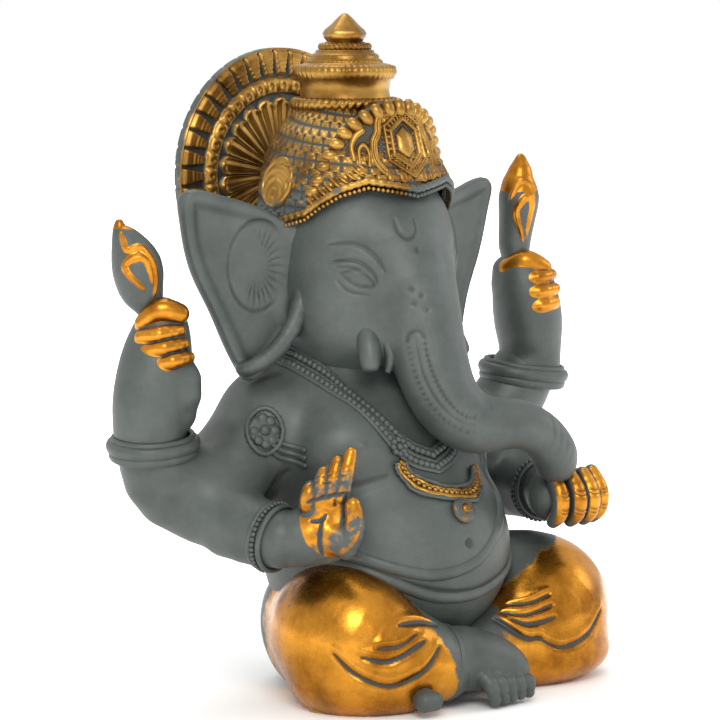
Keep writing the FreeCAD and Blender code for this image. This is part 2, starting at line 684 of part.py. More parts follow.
def build():
    fill_sheet()
    nodes = make_base()
    nodes["tie_rod"] = rod("tie_rod", "rod_radius", Vector(0, 0, mm("felt_thickness + 0.3")),
                           Vector(0, 0, mm("crown_rim_height + 33 + 12")))
    torso, nodes["torso_casting"] = make_torso()
    skull, head, nodes["head_casting"] = make_head()
    below = block("floor_tool", Vector(-BIG, -BIG, -BIG), Vector(BIG, BIG, 0))
    plate_tool = stack_of_plate("plate_tool", "0", "felt_thickness + plate_thickness",
                                "plate_half_width", "plate_half_depth")

    nodes.update(build_crown(skull, head))
    for side in ("right", "left"):
        nodes[f"{side}_ear"] = make_ear(side, head)
        nodes[f"{side}_tusk"] = cut(f"{side}_tusk", make_tusk(side), head)
    nodes.update(build_arms(torso, head))
    nodes.update(build_strands(torso, head))
    nodes.update(build_legs(below, torso, plate_tool, nodes["waist_band"]))
    return nodes


def build_crown(skull, head):
    """Crown, its ornaments and finial, and the fan behind it on its stud."""
    nodes = {}
    crown = make_crown()
    rim_height = mm("crown_rim_height")
    stud = rod("halo_stud", "halo_stud_radius", Vector(0, mm("crown_radius") - 9, mm("halo_height")),
               Vector(0, mm("halo_front_y + halo_thickness"), mm("halo_height")))
    nodes["crown_bowl"] = cut("crown_bowl", crown, skull, stud)
    nodes["crown_finial"] = make_finial()
    nodes["crown_rim_band"] = make_rim(crown, head)
    nodes["crown_plaque"] = make_boss("crown_plaque", Vector(0, 4 - mm("crown_radius"), rim_height + 17),
                                      Vector(0, -1, 0.62), "12", crown)
    for side, hand in (("right", -1), ("left", 1)):
        place = Vector(hand * (mm("crown_radius") - 3), -7, rim_height + 14)
        facing = Vector(hand, -0.2, 0.46)
        nodes[f"{side}_rosette"] = make_boss(f"{side}_rosette", place, facing, "8.5", crown)
    nodes["halo_fan"] = make_halo()
    nodes["halo_stud"] = stud
    return nodes


def build_arms(torso, head):
    """Arms, hands, wrist rings, emblems and arm ornaments, with the dowels and pins that join them."""
    nodes, dowels, pins = {}, [], []
    for side in ("right", "left"):
        bangles = {"rear": make_wrist_ring(side, "rear", "bangle_width"),
                   "front": make_wrist_ring(side, "front", "bangle_width * 0.7")}
        rear = make_arm(side, "rear", torso)
        front = make_arm(side, "front", torso, rear)
        palm = make_open_hand() if side == "right" else make_giving_hand()
        hands = {"rear": cut(f"{side}_rear_fist", make_fist(side), rear),
                 "front": cut(f"{side}_front_palm", palm, front, torso, head)}
        for level, arm in (("rear", rear), ("front", front)):
            hole = dowel(f"{side}_{level}_hole", side, level)
            pin = wrist_pin(f"{side}_{level}_wrist_hole", side, level)
            nodes[f"{side}_{level}_arm"] = cut(f"{side}_{level}_arm", arm, hole, pin, bangles[level])
            tools = [pin, bangles[level]]
            if level == "rear":
                above = point(f"{side}_fist_rear") + Vector(0, 0, 30)
                tools.append(make_stem(f"{side}_stem_hole", side, above))
            nodes[f"{side}_{level}_hand"] = cut(f"{side}_{level}_hand", hands[level], *tools)
            nodes[f"{side}_{level}_bangle"] = bangles[level]
            dowels.append(dowel(f"{side}_{level}_dowel", side, level))
            pins.append(wrist_pin(f"{side}_{level}_wrist_pin", side, level))
        nodes[f"{side}_implement"] = make_implement(side, hands["rear"])
        nodes[f"{side}_armlet"] = make_armlet(side, front, rear, torso)
    nodes["arm_dowels"] = fused("arm_dowels", dowels)
    nodes["wrist_pins"] = fused("wrist_pins", pins)
    return nodes


def build_strands(torso, head):
    """Necklaces and belly bands, each lying on the body."""
    return {
        "bead_necklace": make_strand("bead_necklace", Vector(0, 0, 110), 34, torso, head),
        "pendant_necklace": make_strand("pendant_necklace", Vector(0, 0, 108), 43, torso, head),
        "belly_cord": make_strand("belly_cord", Vector(0, 0, 58), 20, torso),
        "waist_band": make_strand("waist_band", Vector(0, 0, 40), 20, torso),
    }


def build_legs(below, *others):
    """Legs, the foot in front with its anklet, the other foot's toes, and the legs' plugs and dowels."""
    nodes = {}
    right_leg = make_leg("right", below, *others)
    left_leg = make_leg("left", below, *others)
    foot = make_foot(below)
    ankle, instep = point("right_ankle"), point("right_instep")
    toward = (instep - ankle).normalize() * 2
    ring = band("right_anklet", ankle - toward, ankle + toward, "right_ankle_radius")
    nodes["right_leg"] = cut("right_leg", right_leg, leg_dowel("right_leg_hole", "right"), ring)
    nodes["right_foot"] = cut("right_foot", foot, right_leg, ring)
    nodes["right_anklet"] = ring
    nodes["left_leg"] = cut("left_leg", left_leg, leg_dowel("left_leg_hole", "left"), right_leg, foot, ring)
    toes = ball("left_toes_ball", "left_toes_radius", point("left_toes"))
    nodes["left_toes"] = cut("left_toes", toes, below, right_leg, foot, ring)
    plugs = [cut(f"{side}_plug", core_plug(f"{side}_plug_blank", side), below) for side in ("right", "left")]
    nodes["core_plugs"] = fused("core_plugs", plugs)
    dowels = [leg_dowel(f"{side}_leg_dowel", side) for side in ("right", "left")]
    nodes["leg_dowels"] = fused("leg_dowels", dowels)
    return nodes


def check_and_export(nodes):
    """Stops if any object failed or any node's shape is unsound, then writes each node to its STEP file."""
    doc.recompute()
    failed = [item.Name for item in doc.Objects if {"Invalid", "Error"} & set(item.State)]
    if failed:
        raise RuntimeError(f"these objects failed: {failed}")
    os.makedirs("parts", exist_ok=True)
    for old in os.listdir("parts"):
        os.remove(os.path.join("parts", old))
    for name, item in sorted(nodes.items()):
        item.Label = name
        shape = item.Shape
        if shape.isNull() or not shape.isValid() or not shape.Solids:
            raise RuntimeError(f"{name} has no sound shape")
        shape.exportStep(os.path.join("parts", f"{name}.step"))
        print(f"{name}: {len(shape.Solids)} solid(s), {shape.Volume / 1000:.1f} cm3")
    print(f"{len(nodes)} nodes")


check_and_export(build())
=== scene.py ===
import math

import bmesh
import bpy
import numpy as np
from bpy.props import FloatProperty, FloatVectorProperty, PointerProperty
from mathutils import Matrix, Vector


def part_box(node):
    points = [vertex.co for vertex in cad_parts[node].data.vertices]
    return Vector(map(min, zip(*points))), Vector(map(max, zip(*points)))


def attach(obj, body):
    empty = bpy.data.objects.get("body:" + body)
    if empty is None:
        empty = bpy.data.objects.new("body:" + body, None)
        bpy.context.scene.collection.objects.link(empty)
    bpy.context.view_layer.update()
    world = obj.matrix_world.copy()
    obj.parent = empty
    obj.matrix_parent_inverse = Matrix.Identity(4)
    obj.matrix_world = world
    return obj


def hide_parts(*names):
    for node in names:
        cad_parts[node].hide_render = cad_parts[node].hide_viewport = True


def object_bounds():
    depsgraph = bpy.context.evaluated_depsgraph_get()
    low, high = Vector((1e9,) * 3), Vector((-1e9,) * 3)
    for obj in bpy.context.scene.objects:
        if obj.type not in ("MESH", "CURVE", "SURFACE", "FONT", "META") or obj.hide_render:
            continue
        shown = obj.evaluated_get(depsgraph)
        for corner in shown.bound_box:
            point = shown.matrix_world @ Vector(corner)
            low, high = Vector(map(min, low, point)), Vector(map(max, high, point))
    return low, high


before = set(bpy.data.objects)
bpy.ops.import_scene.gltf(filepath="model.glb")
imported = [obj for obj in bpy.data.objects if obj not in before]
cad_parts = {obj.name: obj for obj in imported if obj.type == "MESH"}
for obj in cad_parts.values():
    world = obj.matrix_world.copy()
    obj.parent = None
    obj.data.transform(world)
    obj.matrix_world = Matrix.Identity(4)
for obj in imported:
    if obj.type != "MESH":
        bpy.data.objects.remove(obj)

bl_info = {
    "name": "Seated elephant-headed figure",
    "version": (1, 0, 0),
    "blender": (4, 5, 0),
    "location": "3D View > Sidebar > Figure",
    "description": "Builds a cast brass figure from its castings, with patina and rubbed gold",
    "category": "Object",
}

CAD_BOX = [list(corner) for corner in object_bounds()]
# One figure millimetre in metres: the castings are laid out for a height of 222 of them.
FIGURE_HEIGHT = 222.0
MM = (CAD_BOX[1][2] - CAD_BOX[0][2]) / FIGURE_HEIGHT
COARSE = 1.0


def centre(node):
    """Middle of a CAD node's box, in figure millimetres."""
    low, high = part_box(node)
    return np.array((low + high) / 2) / MM


def corner(node, which):
    """Lowest (0) or highest (1) corner of a CAD node's box, in figure millimetres."""
    return np.array(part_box(node)[which]) / MM


# ------------------------------------------------------------------ distance fields
# A field gives the distance of points, an (n, 3) array in figure millimetres, from a shape: negative inside.


def melt(one, other, soft):
    """Union of two fields whose crease is filled with a round of the given size: the lower of the two,
    lowered further where they are nearly equal."""
    share = np.clip(0.5 + 0.5 * (other - one) / soft, 0, 1)
    return other + (one - other) * share - soft * share * (1 - share)


def carve(body, tool, soft):
    """The body less the tool, with a rounded edge."""
    return -melt(-body, tool, soft)


def egg(points, place, halves, lean=0.0, turn=0.0):
    """Ellipsoid: k (k - 1) / g, where k is the point's length in half sizes and g its slope.
    It leans about X and then turns about Z, in degrees."""
    p = points - np.array(place, np.float32)
    if turn:
        c, s = math.cos(math.radians(turn)), math.sin(math.radians(turn))
        p = p @ np.array([[c, -s, 0], [s, c, 0], [0, 0, 1]], np.float32)
    if lean:
        c, s = math.cos(math.radians(lean)), math.sin(math.radians(lean))
        p = p @ np.array([[1, 0, 0], [0, c, -s], [0, s, c]], np.float32)
    halves = np.array(halves, np.float32)
    k = np.sqrt(((p / halves) ** 2).sum(1)) + 1e-6
    g = np.sqrt(((p / halves ** 2) ** 2).sum(1)) + 1e-6
    return k * (k - 1) / g


def taper(points, start, end):
    """Rounded cone between two stations (x, y, z, radius): distance to the axis less the radius there."""
    a, b = np.array(start[:3], np.float32), np.array(end[:3], np.float32)
    run = b - a
    t = np.clip(((points - a) @ run) / (run @ run), 0, 1)
    gap = np.sqrt(((points - a - t[:, None] * run) ** 2).sum(1))
    return gap - (start[3] + (end[3] - start[3]) * t)


def flow(stations, steps=6):
    """Smooth curve through the stations: a cubic between each pair whose slopes come from the neighbours."""
    s = np.array(stations, float)
    if len(s) < 3:
        t = np.linspace(0, 1, steps + 1)[:, None]
        return s[0] * (1 - t) + s[-1] * t
    q = np.vstack([2 * s[0] - s[1], s, 2 * s[-1] - s[-2]])
    a, b, c, d = q[:-3, None], q[1:-2, None], q[2:-1, None], q[3:, None]
    t = np.linspace(0, 1, steps, endpoint=False)[None, :, None]
    bend, twist = 2 * a - 5 * b + 4 * c - d, 3 * b - a - 3 * c + d
    curve = 0.5 * (2 * b + (c - a) * t + bend * t ** 2 + twist * t ** 3)
    return np.vstack([curve.reshape(-1, s.shape[1]), s[-1:]])


def limb(points, stations, steps=4, soft=1.2):
    """Tapers one after another along the smooth curve through the stations."""
    route = flow(stations, steps)
    field = taper(points, route[0], route[1])
    for start, end in zip(route[1:-1], route[2:]):
        field = melt(field, taper(points, start, end), soft)
    return field


def beside(place, turn, rows):
    """Stations from rows of (across, ahead, up, ...) measured from a place: across is turned about Z by turn
    degrees from the figure's left, and ahead is a quarter turn to its right."""
    c, s = math.cos(math.radians(turn)), math.sin(math.radians(turn))
    return [(place[0] + a * c + b * s, place[1] + a * s - b * c, place[2] + up, *rest) for a, b, up,
            *rest in rows]


def slope(field, points, reach=0.05):
    """Value and unit slope of a field at each point, from the corners of a small tetrahedron round it."""
    corners = np.array([(1, -1, -1), (-1, -1, 1), (-1, 1, -1), (1, 1, 1)], np.float32)
    values = [field(points + there * reach) for there in corners]
    grow = sum(v[:, None] * c for v, c in zip(values, corners)) / (4 * reach)
    size = np.sqrt((grow ** 2).sum(1, keepdims=True)) + 1e-9
    return sum(values) / 4, grow / size, size[:, 0]


def settle(field, points, rounds=4):
    """Moves points along the slope until they lie on the field's surface."""
    p = np.array(points, np.float32)
    for _ in range(rounds):
        value, way, size = slope(field, p)
        p = p - way * (value / np.maximum(size, 0.3))[:, None]
    return p


def skin(field, low, high, step):
    """Surface on which the field is zero. The box is divided into cells; a cell whose corners differ in sign
    gets one point, at the mean of the crossings on its edges, and each crossed edge joins its four cells
    with a quad. Far from the surface a coarser grid stands in for the field."""
    step = step * COARSE
    low = np.array(low, float)
    counts = [int(math.ceil((h - l) / step)) + 2 for l, h in zip(low, high)]
    block = 4
    rough_counts = [c // block + 2 for c in counts]
    index = np.indices(rough_counts).reshape(3, -1).T
    rough = field((low + (index * block + block / 2) * step).astype(np.float32)).reshape(rough_counts)
    values = rough
    for axis in range(3):
        values = np.repeat(values, block, axis=axis)
    values = values[:counts[0], :counts[1], :counts[2]].copy()
    near = np.argwhere(np.abs(values) < block * step * 1.25)
    values[tuple(near.T)] = field((low + near * step).astype(np.float32))
    points, quads = cells_to_quads(values)
    points = settle(field, low + points * step, 2)
    return points, quads


def cells_to_quads(values):
    """Points and quads of the zero surface, in grid units."""
    inside = values < 0
    ends = (slice(0, -1), slice(1, None))
    eight = np.indices((2, 2, 2)).reshape(3, -1).T
    total = sum(inside[ends[i], ends[j], ends[k]].astype(np.uint8) for i, j, k in eight)
    active = (total > 0) & (total < 8)
    cells = np.argwhere(active)
    number = np.full(active.shape, -1, np.int64)
    number[active] = np.arange(len(cells))
    places, hits = np.zeros((len(cells), 3)), np.zeros(len(cells))
    for axis in range(3):
        for first in (0, 1):
            for second in (0, 1):
                offset = np.insert(np.array([first, second]), axis, 0)
                onward = np.zeros(3, int)
                onward[axis] = 1
                a = values[tuple((cells + offset).T)]
                b = values[tuple((cells + offset + onward).T)]
                crossed = (a < 0) != (b < 0)
                share = np.where(crossed, a / np.where(crossed, a - b, 1), 0)
                places[crossed] += offset + onward * share[crossed, None]
                hits += crossed
    points = cells + places / hits[:, None]
    quads = []
    for axis in range(3):
        order = (axis, (axis + 1) % 3, (axis + 2) % 3)
        side, ids = inside.transpose(order), number.transpose(order)
        leaving = side[:-1, 1:-1, 1:-1] & ~side[1:, 1:-1, 1:-1]
        entering = ~side[:-1, 1:-1, 1:-1] & side[1:, 1:-1, 1:-1]
        for crossed, turn in ((leaving, 1), (entering, -1)):
            i, j, k = np.argwhere(crossed).T
            ring = np.stack([ids[i, j, k], ids[i, j + 1, k], ids[i, j + 1, k + 1], ids[i, j, k + 1]], 1)
            quads.append(ring[:, ::turn])
    quads = np.vstack(quads)
    return points, quads[(quads >= 0).all(1)]


# ------------------------------------------------------------------ relief
# Relief is worked out at the surface's points and moves them along the slope.


def gap_to_path(points, path):
    """Distance of each point from a line through the path's points, and how far along it the nearest place
    is."""
    best, along = np.full(len(points), 1e6, np.float32), np.zeros(len(points), np.float32)
    low, high = path.min(0) - 6, path.max(0) + 6
    near = np.flatnonzero(((points > low) & (points < high)).all(1))
    some, start = points[near], 0.0
    for a, b in zip(path[:-1], path[1:]):
        run = b - a
        length = max(float(np.sqrt(run @ run)), 1e-6)
        t = np.clip(((some - a) @ run) / length ** 2, 0, 1)
        gaps = np.sqrt(((some - a - t[:, None] * run) ** 2).sum(1))
        closer = gaps < best[near]
        best[near] = np.where(closer, gaps, best[near])
        along[near] = np.where(closer, start + t * length, along[near])
        start += length
    return best, along


def stroke(points, field, line, width, depth, steps=5):
    """Chased line: a bell-shaped groove (or ridge, where depth is negative) along a smooth line through
    given points that are first settled on the surface. Its ends fade out."""
    path = settle(field, flow(line, steps)[:, :3])
    gap, along = gap_to_path(points, path)
    total = np.linalg.norm(np.diff(path, axis=0), axis=1).sum()
    swell = 0.45 + 0.55 * np.sqrt(np.clip(np.sin(math.pi * along / total), 0, 1))
    return -depth * swell * np.exp(-(gap / (width * swell)) ** 2)


def feathered(points, field, line, reach, width, depth, pitch):
    """Short strokes side by side across a line, as on a feather: a wave along the line, kept to a bell-
    shaped band at the given reach on both sides of it."""
    path = settle(field, flow(line, 5)[:, :3])
    gap, along = gap_to_path(points, path)
    band = np.exp(-((gap - reach) / width) ** 2)
    return -depth * band * np.clip(np.cos(2 * math.pi * along / pitch), 0, 1)


def spot(points, place, width, depth):
    """Round bell-shaped dent, or boss where depth is negative."""
    gap = ((points - np.array(place, np.float32)) ** 2).sum(1)
    return -depth * np.exp(-gap / width ** 2)


def smooth_step(low, high, values):
    t = np.clip((values - low) / (high - low), 0, 1)
    return t * t * (3 - 2 * t)


def grain(points, size, seed=0.0):
    """Slow even noise from crossed sine waves, about -1 to 1, whose lumps are of the given size."""
    p = points / size + seed
    one = np.sin(p[:, 0] * 1.7 + 1.3 * np.sin(p[:, 1] * 1.1 + 2))
    two = np.sin(p[:, 1] * 1.9 + 1.1 * np.sin(p[:, 2] * 1.3))
    three = np.sin(p[:, 2] * 1.6 + 1.2 * np.sin(p[:, 0] * 1.2 + 5))
    return (one + two + three) / 3


# ------------------------------------------------------------------ meshes


def put(name, points, quads, gilt=1.0, recess=0.0):
    """Mesh object from points in figure millimetres. gilt is how far gold is rubbed bare, 0 to 1, and recess
    how deep in a groove or crease each point lies, 0 to 1: patina held in grooves, and painted shade in
    creases; both are kept as attributes for the materials."""
    mesh = bpy.data.meshes.new(name)
    quads = np.asarray(quads)
    count = len(quads)
    mesh.vertices.add(len(points))
    mesh.vertices.foreach_set("co", (np.asarray(points, float) * MM).astype(np.float32).ravel())
    mesh.loops.add(quads.size)
    mesh.loops.foreach_set("vertex_index", quads.astype(np.int32).ravel())
    mesh.polygons.add(count)
    mesh.polygons.foreach_set("loop_start", np.arange(0, quads.size, quads.shape[1], dtype=np.int32))
    mesh.polygons.foreach_set("use_smooth", np.ones(count, bool))
    for label, values in (("gilt", gilt), ("recess", recess)):
        attribute = mesh.attributes.new(label, "FLOAT", "POINT")
        filled = np.broadcast_to(np.asarray(values, np.float32), len(points))
        attribute.data.foreach_set("value", np.ascontiguousarray(filled))
    mesh.update()
    mesh.validate()
    piece = bpy.data.objects.new(name, mesh)
    bpy.context.scene.collection.objects.link(piece)
    return piece


def tidy(piece, reach=0.004):
    """Merges coincident points, as at poles and wrapped edges, and turns faces outwards."""
    work = bmesh.new()
    work.from_mesh(piece.data)
    bmesh.ops.remove_doubles(work, verts=work.verts, dist=reach * MM)
    bmesh.ops.recalc_face_normals(work, faces=work.faces)
    work.to_mesh(piece.data)
    work.free()
    return piece


def slice_off(piece, place, outward):
    """Cuts the piece on a plane, drops what lies on the outward side and closes the cut with a sharp edge."""
    work = bmesh.new()
    work.from_mesh(piece.data)
    cut = bmesh.ops.bisect_plane(work, geom=work.verts[:] + work.edges[:] + work.faces[:], dist=1e-7,
                                 plane_co=Vector(place) * MM, plane_no=Vector(outward), clear_outer=True)
    rim = [g for g in cut["geom_cut"] if isinstance(g, bmesh.types.BMEdge)]
    if rim:
        caps = bmesh.ops.holes_fill(work, edges=rim, sides=0)["faces"]
        for face in caps:
            face.smooth = False
        for edge in rim:
            edge.smooth = False
    work.to_mesh(piece.data)
    work.free()
    return piece


def surface(grid, wrap_u=False, wrap_v=False):
    """Points and quads of a two-parameter grid (u, v, 3), joined round where it wraps."""
    nu, nv = grid.shape[:2]
    number = np.arange(nu * nv).reshape(nu, nv)
    if wrap_u:
        number = np.vstack([number, number[:1]])
    if wrap_v:
        number = np.hstack([number, number[:, :1]])
    quads = np.stack([number[:-1, :-1], number[1:, :-1], number[1:, 1:], number[:-1, 1:]], -1).reshape(-1, 4)
    return grid.reshape(-1, 3), quads


def joined(parts):
    """Several (points, quads) sets as one."""
    points, quads, start = [], [], 0
    for p, q in parts:
        points.append(p)
        quads.append(q + start)
        start += len(p)
    return np.vstack(points), np.vstack(quads)


def beads(places, radius, rings=7, sides=10, squash=1.0, ways=None):
    """Row of beads: one small ball of latitude and longitude rings, repeated at each place."""
    places = np.asarray(places, float)
    radius = np.broadcast_to(np.asarray(radius, float), len(places))
    u, v = np.meshgrid(np.linspace(0, math.pi, rings), np.linspace(0, 2 * math.pi, sides, endpoint=False),
                       indexing="ij")
    ball = np.stack([np.sin(u) * np.cos(v), np.sin(u) * np.sin(v), np.cos(u) * squash], -1)
    base, quads = surface(ball, wrap_v=True)
    points = places[:, None] + base[None] * radius[:, None, None]
    if ways is not None:
        x, y, z = frames_from(ways)
        turned = sum(base[None, :, axis:axis + 1] * way[:, None] for axis, way in enumerate((x, y, z)))
        points = places[:, None] + turned * radius[:, None, None]
    shift = np.arange(len(places))[:, None, None] * len(base)
    return points.reshape(-1, 3), (quads[None] + shift).reshape(-1, 4)


def frames_from(ways):
    """Two cross directions and the unit direction itself for each given direction."""
    z = np.asarray(ways, float)
    z = z / np.linalg.norm(z, axis=1, keepdims=True)
    helper = np.where(np.abs(z[:, 2:]) > 0.9, np.array([[1.0, 0, 0]]), np.array([[0, 0, 1.0]]))
    x = np.cross(helper, z)
    x = x / np.linalg.norm(x, axis=1, keepdims=True)
    return x, np.cross(z, x), z


def tube(path, radius, sides=12, closed=False, flatten=1.0, outward=None, ripple=None):
    """Round section carried along a path: at each point the section's angle runs round two cross directions.
    flatten squashes it along outward, which may be one direction or one for each point, and ripple(s, angle)
    is added to the radius, with s the path's length so far."""
    path = np.asarray(path, float)
    ahead = np.roll(path, -1, 0) - np.roll(path, 1, 0) if closed else np.gradient(path, axis=0)
    ahead /= np.linalg.norm(ahead, axis=1, keepdims=True) + 1e-9
    out = np.broadcast_to(np.array([0, 0, 1.0]) if outward is None else np.asarray(outward, float),
                          path.shape)
    out = out - ahead * (out * ahead).sum(1, keepdims=True)
    out = out / (np.linalg.norm(out, axis=1, keepdims=True) + 1e-9)
    side = np.cross(ahead, out)
    angle = np.linspace(0, 2 * math.pi, sides, endpoint=False)
    length = np.concatenate([[0], np.cumsum(np.linalg.norm(np.diff(path, axis=0), axis=1))])
    r = np.broadcast_to(np.asarray(radius, float), len(path))[:, None] * np.ones(sides)
    if ripple is not None:
        r = r + ripple(length[:, None], angle[None])
    grid = path[:, None] + r[..., None] * (np.cos(angle)[None, :, None] * out[:, None] * flatten
                                           + np.sin(angle)[None, :, None] * side[:, None])
    if not closed:
        grid = np.concatenate([np.repeat(path[:1, None], sides, 1), grid,
                               np.repeat(path[-1:, None], sides, 1)])
    return surface(grid, wrap_u=closed, wrap_v=True)


def finish(piece, material, slot, *nodes):
    """Gives the piece its material, rides it on the root body and hides the CAD nodes it stands
    for. The slot argument is not used."""
    piece.data.materials.clear()
    piece.data.materials.append(material)
    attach(piece, "root")
    if nodes:
        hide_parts(*nodes)
    return piece


def sculpt(name, field, low, high, step, relief=None, gilt=0.0):
    """Melded casting: the field's skin, moved by its relief along the slope, with its grooves marked and its
    creases given painted shade.
    """
    points, quads = skin(field, low, high, step)
    points = points.astype(np.float32)
    recess = np.zeros(len(points), np.float32)
    if relief is not None:
        height = relief(points)
        way = slope(field, points)[1]
        points = points + way * height[:, None]
        recess = np.clip(-height / 0.45, 0, 1)
    shade = gilt(points, slope(field, points)[1]) if callable(gilt) else np.full(len(points), gilt)
    # Painted shade: creases join the grooves in the recess attribute, which darkens the colour and keeps gold
    # off.
    recess = np.maximum(recess, crease_patina_and_shade(points, field))
    return put(name, points, quads, shade, recess)


def crease_patina_and_shade(points, field):
    """How far each point lies in a crease, 0 to 1, from the field 1.6 outside the surface: there it is 1.6
    on a flat or round face and less in a crease. Creases keep their patina and are darkened with painted
    shade."""
    reach = 1.6
    way = slope(field, points)[1]
    outside = field(points + way * reach)
    return np.clip((reach - outside) / reach * 1.3 - 0.12, 0, 1)


# ------------------------------------------------------------------ the castings' shapes


RIGHT_REAR_ARM = [(-31, 5, 87, 13), (-49, 5, 73, 13), (-63, 3, 69, 14), (-75, 1, 75, 12.4),
                  (-80, 0, 86, 10.6)]
LEFT_REAR_ARM = [(31, 6, 88, 13), (47, 6, 77, 12.5), (61, 6, 76, 12.5), (73, 3, 85, 11.8),
                 (81.5, 1, 97, 11.4)]
RIGHT_FRONT_ARM = [(-38, -3, 88, 13), (-50, -5, 76, 12.5), (-59, -9, 64, 12.8), (-57.5, -22, 58.5, 10.6),
                   (-54.5, -34, 56.5, 9.4)]
LEFT_FRONT_ARM = [(38, -3, 88, 13), (50, -5, 77, 12.5), (61, -10, 65, 12.8), (59.5, -25, 62, 10.2),
                  (55.5, -38, 62.5, 8.8)]


def body_field(points):
    """Belly, hips, chest, shoulders, neck and all four arms melted together."""
    body = melt(egg(points, (2.5, -18.5, 47), (40.5, 41.5, 37)), egg(points, (7, -4, 21), (31, 26, 22)), 14)
    body = melt(body, egg(points, (0, -5, 80), (41, 36, 33)), 12)
    body = melt(body, egg(points, (2, 3, 66), (31, 25, 42)), 10)
    body = melt(body, limb(points, [(-30, 2, 92, 14), (0, 3, 99, 21), (30, 2, 92, 14)]), 12)
    body = melt(body, taper(points, (0, 1, 100, 24), (0, -4, 122, 22)), 8)
    for side in (-1, 1):
        body = melt(body, egg(points, (side * 19, -27, 82), (17, 13, 14)), 7)
    arms = melt(limb(points, RIGHT_REAR_ARM, 2, 2), limb(points, RIGHT_FRONT_ARM, 2, 2), 9)
    arms = np.minimum(arms, melt(limb(points, LEFT_REAR_ARM, 2, 2), limb(points, LEFT_FRONT_ARM, 2, 2), 9))
    return melt(body, arms, 8)


TRUNK = [(0, -26, 143, 18), (0, -36, 127, 13.8), (0.5, -42, 111, 11.8), (3, -47, 98, 10.6),
         (9.5, -52, 90.5, 9.4),
         (18, -56, 89.5, 8), (26, -58.5, 89, 7.2), (33, -60.5, 85, 6.8), (38.5, -60.5, 79.5, 6.6),
         (41, -59, 75, 6.6)]


def head_field(points):
    """Skull, brow, cheeks, jaw, neck and trunk melted together."""
    head = melt(egg(points, (0, -5, 143), (31, 31, 34)), egg(points, (0, -15, 150), (25, 20, 20)), 10)
    for side in (-1, 1):
        head = melt(head, egg(points, (side * 15, -15, 125), (15, 16, 18)), 10)
        head = melt(head, egg(points, (side * 12, -27, 118), (8, 9, 9)), 6)
        head = melt(head, egg(points, (side * 19.5, -28, 141.5), (6.5, 4, 3.6), 0, side * 32), 2.5)
    head = melt(head, taper(points, (0, -2, 108, 22), (0, -6, 128, 27)), 8)
    return melt(head, limb(points, TRUNK, 3, 2), 7)


RIGHT_LEG = [(-8, 3, 22, 20), (-21, -20, 22, 20.5), (-31.5, -37, 24.5, 21), (-22, -50, 17.5, 16.5),
             (-8, -58, 13.5, 11)]
LEFT_LEG = [(20, 6, 23, 21), (42, -20, 23, 23), (54, -37, 24, 22.5), (42, -43, 18, 18), (22, -45, 13, 12.5)]
RIGHT_FOOT = [(-10, -57, 15, 10.5), (0, -59.5, 15, 9.8), (9, -62, 13, 8.6), (15.5, -64, 10, 7)]


def right_leg_field(points):
    leg = melt(limb(points, RIGHT_LEG, 3, 3), egg(points, (-28, -42, 8.5), (21, 19.5, 10.5)), 8)
    leg = melt(leg, limb(points, [(-12, -2, 8, 11), (-27, -24, 8, 12.5), (-33, -38, 9, 12.5)]), 6)
    return melt(leg, egg(points, (-16, -5, 20), (17, 20, 22.5)), 2.5)


def left_leg_field(points):
    leg = melt(limb(points, LEFT_LEG, 3, 3), egg(points, (51, -38, 9), (25, 24.5, 11)), 8)
    leg = melt(leg, limb(points, [(26, -2, 8, 11), (46, -22, 8, 12.5), (55, -38, 9, 13)]), 6)
    return melt(leg, egg(points, (34, -2, 21), (21, 20, 22.5)), 2.5)


def foot_field(points):
    """Instep and five toes, side by side across the foot's end."""
    foot = limb(points, RIGHT_FOOT, 3, 2)
    for number in range(5):
        x = 1.2 + 4.1 * number
        root, tip = (x - 1.2, -66.5 + 0.3 * number, 11.5 - 0.5 * number,
                     2.9), (x + 1.2, -72.3 + 0.5 * number, 3.4, 2.1)
        foot = melt(foot, limb(points, [root, ((root[0] + tip[0]) / 2, -71, 8.4 - 0.3 * number, 2.5), tip],
                               2, 0.5), 0.7)
    return foot


def ear_field(side):
    """Broad ear: a thin curved leaf inside an outline, with a rolled rim. The outline is worked out flat,
    across and up; depth bends it into a shallow dish whose outer edge comes forward."""
    rim = np.array([(27, 150), (38, 157), (50.5, 161), (63.5, 163.5), (64, 155), (60.5, 141), (53.5, 126),
                    (47, 110),
                    (44, 105), (38, 109), (32, 116), (27, 124)], float)
    rim = flow(np.vstack([rim, rim[:1]]), 5)[:-1]

    def depth(x, z):
        bowl = np.minimum(((x - 45) / 24) ** 2 + ((z - 138) / 34) ** 2, 1.3)
        return -9 + 0.32 * (x - 27) + 3.0 * (1 - bowl)

    def field(points):
        x, z = points[:, 0] * side, points[:, 2]
        flat = np.stack([x, z], 1)
        away, odd = np.full(len(flat), 1e6, np.float32), np.zeros(len(flat), bool)
        for a, b in zip(rim, np.roll(rim, -1, 0)):
            run = b - a
            t = np.clip(((flat - a) @ run) / (run @ run), 0, 1)
            away = np.minimum(away, np.hypot(*(flat - a - t[:, None] * run).T))
            crosses = (a[1] > z) != (b[1] > z)
            odd ^= crosses & (x < (b[0] - a[0]) * (z - a[1]) / (b[1] - a[1] + 1e-9) + a[0])
        outside = np.where(odd, -away, away)
        level = points[:, 1] - depth(x, z)
        leaf = np.abs(level) - 1.5
        plate = np.maximum(leaf, outside)
        lip = np.hypot(outside + 0.5, level + 0.4) - (1.9 + 0.9 * smooth_step(150, 165, z))
        lobe = limb(points * np.array([side, 1, 1], np.float32),
                    [(26, -13, 142, 2), (29, -13.5, 131, 2.4), (33.5, -13.5, 121, 2.7),
                     (39, -11.5, 113.5, 2.8), (44.5, -8.5, 109, 2.4), (48, -5, 107.5, 1.6)], 3, 1)
        root = taper(points * np.array([side, 1, 1], np.float32), (24, -8, 150, 6), (24, -8, 126, 6))
        return melt(melt(melt(plate, lip, 2.5), lobe, 2.5), root, 6)
    return field


# ------------------------------------------------------------------ hands


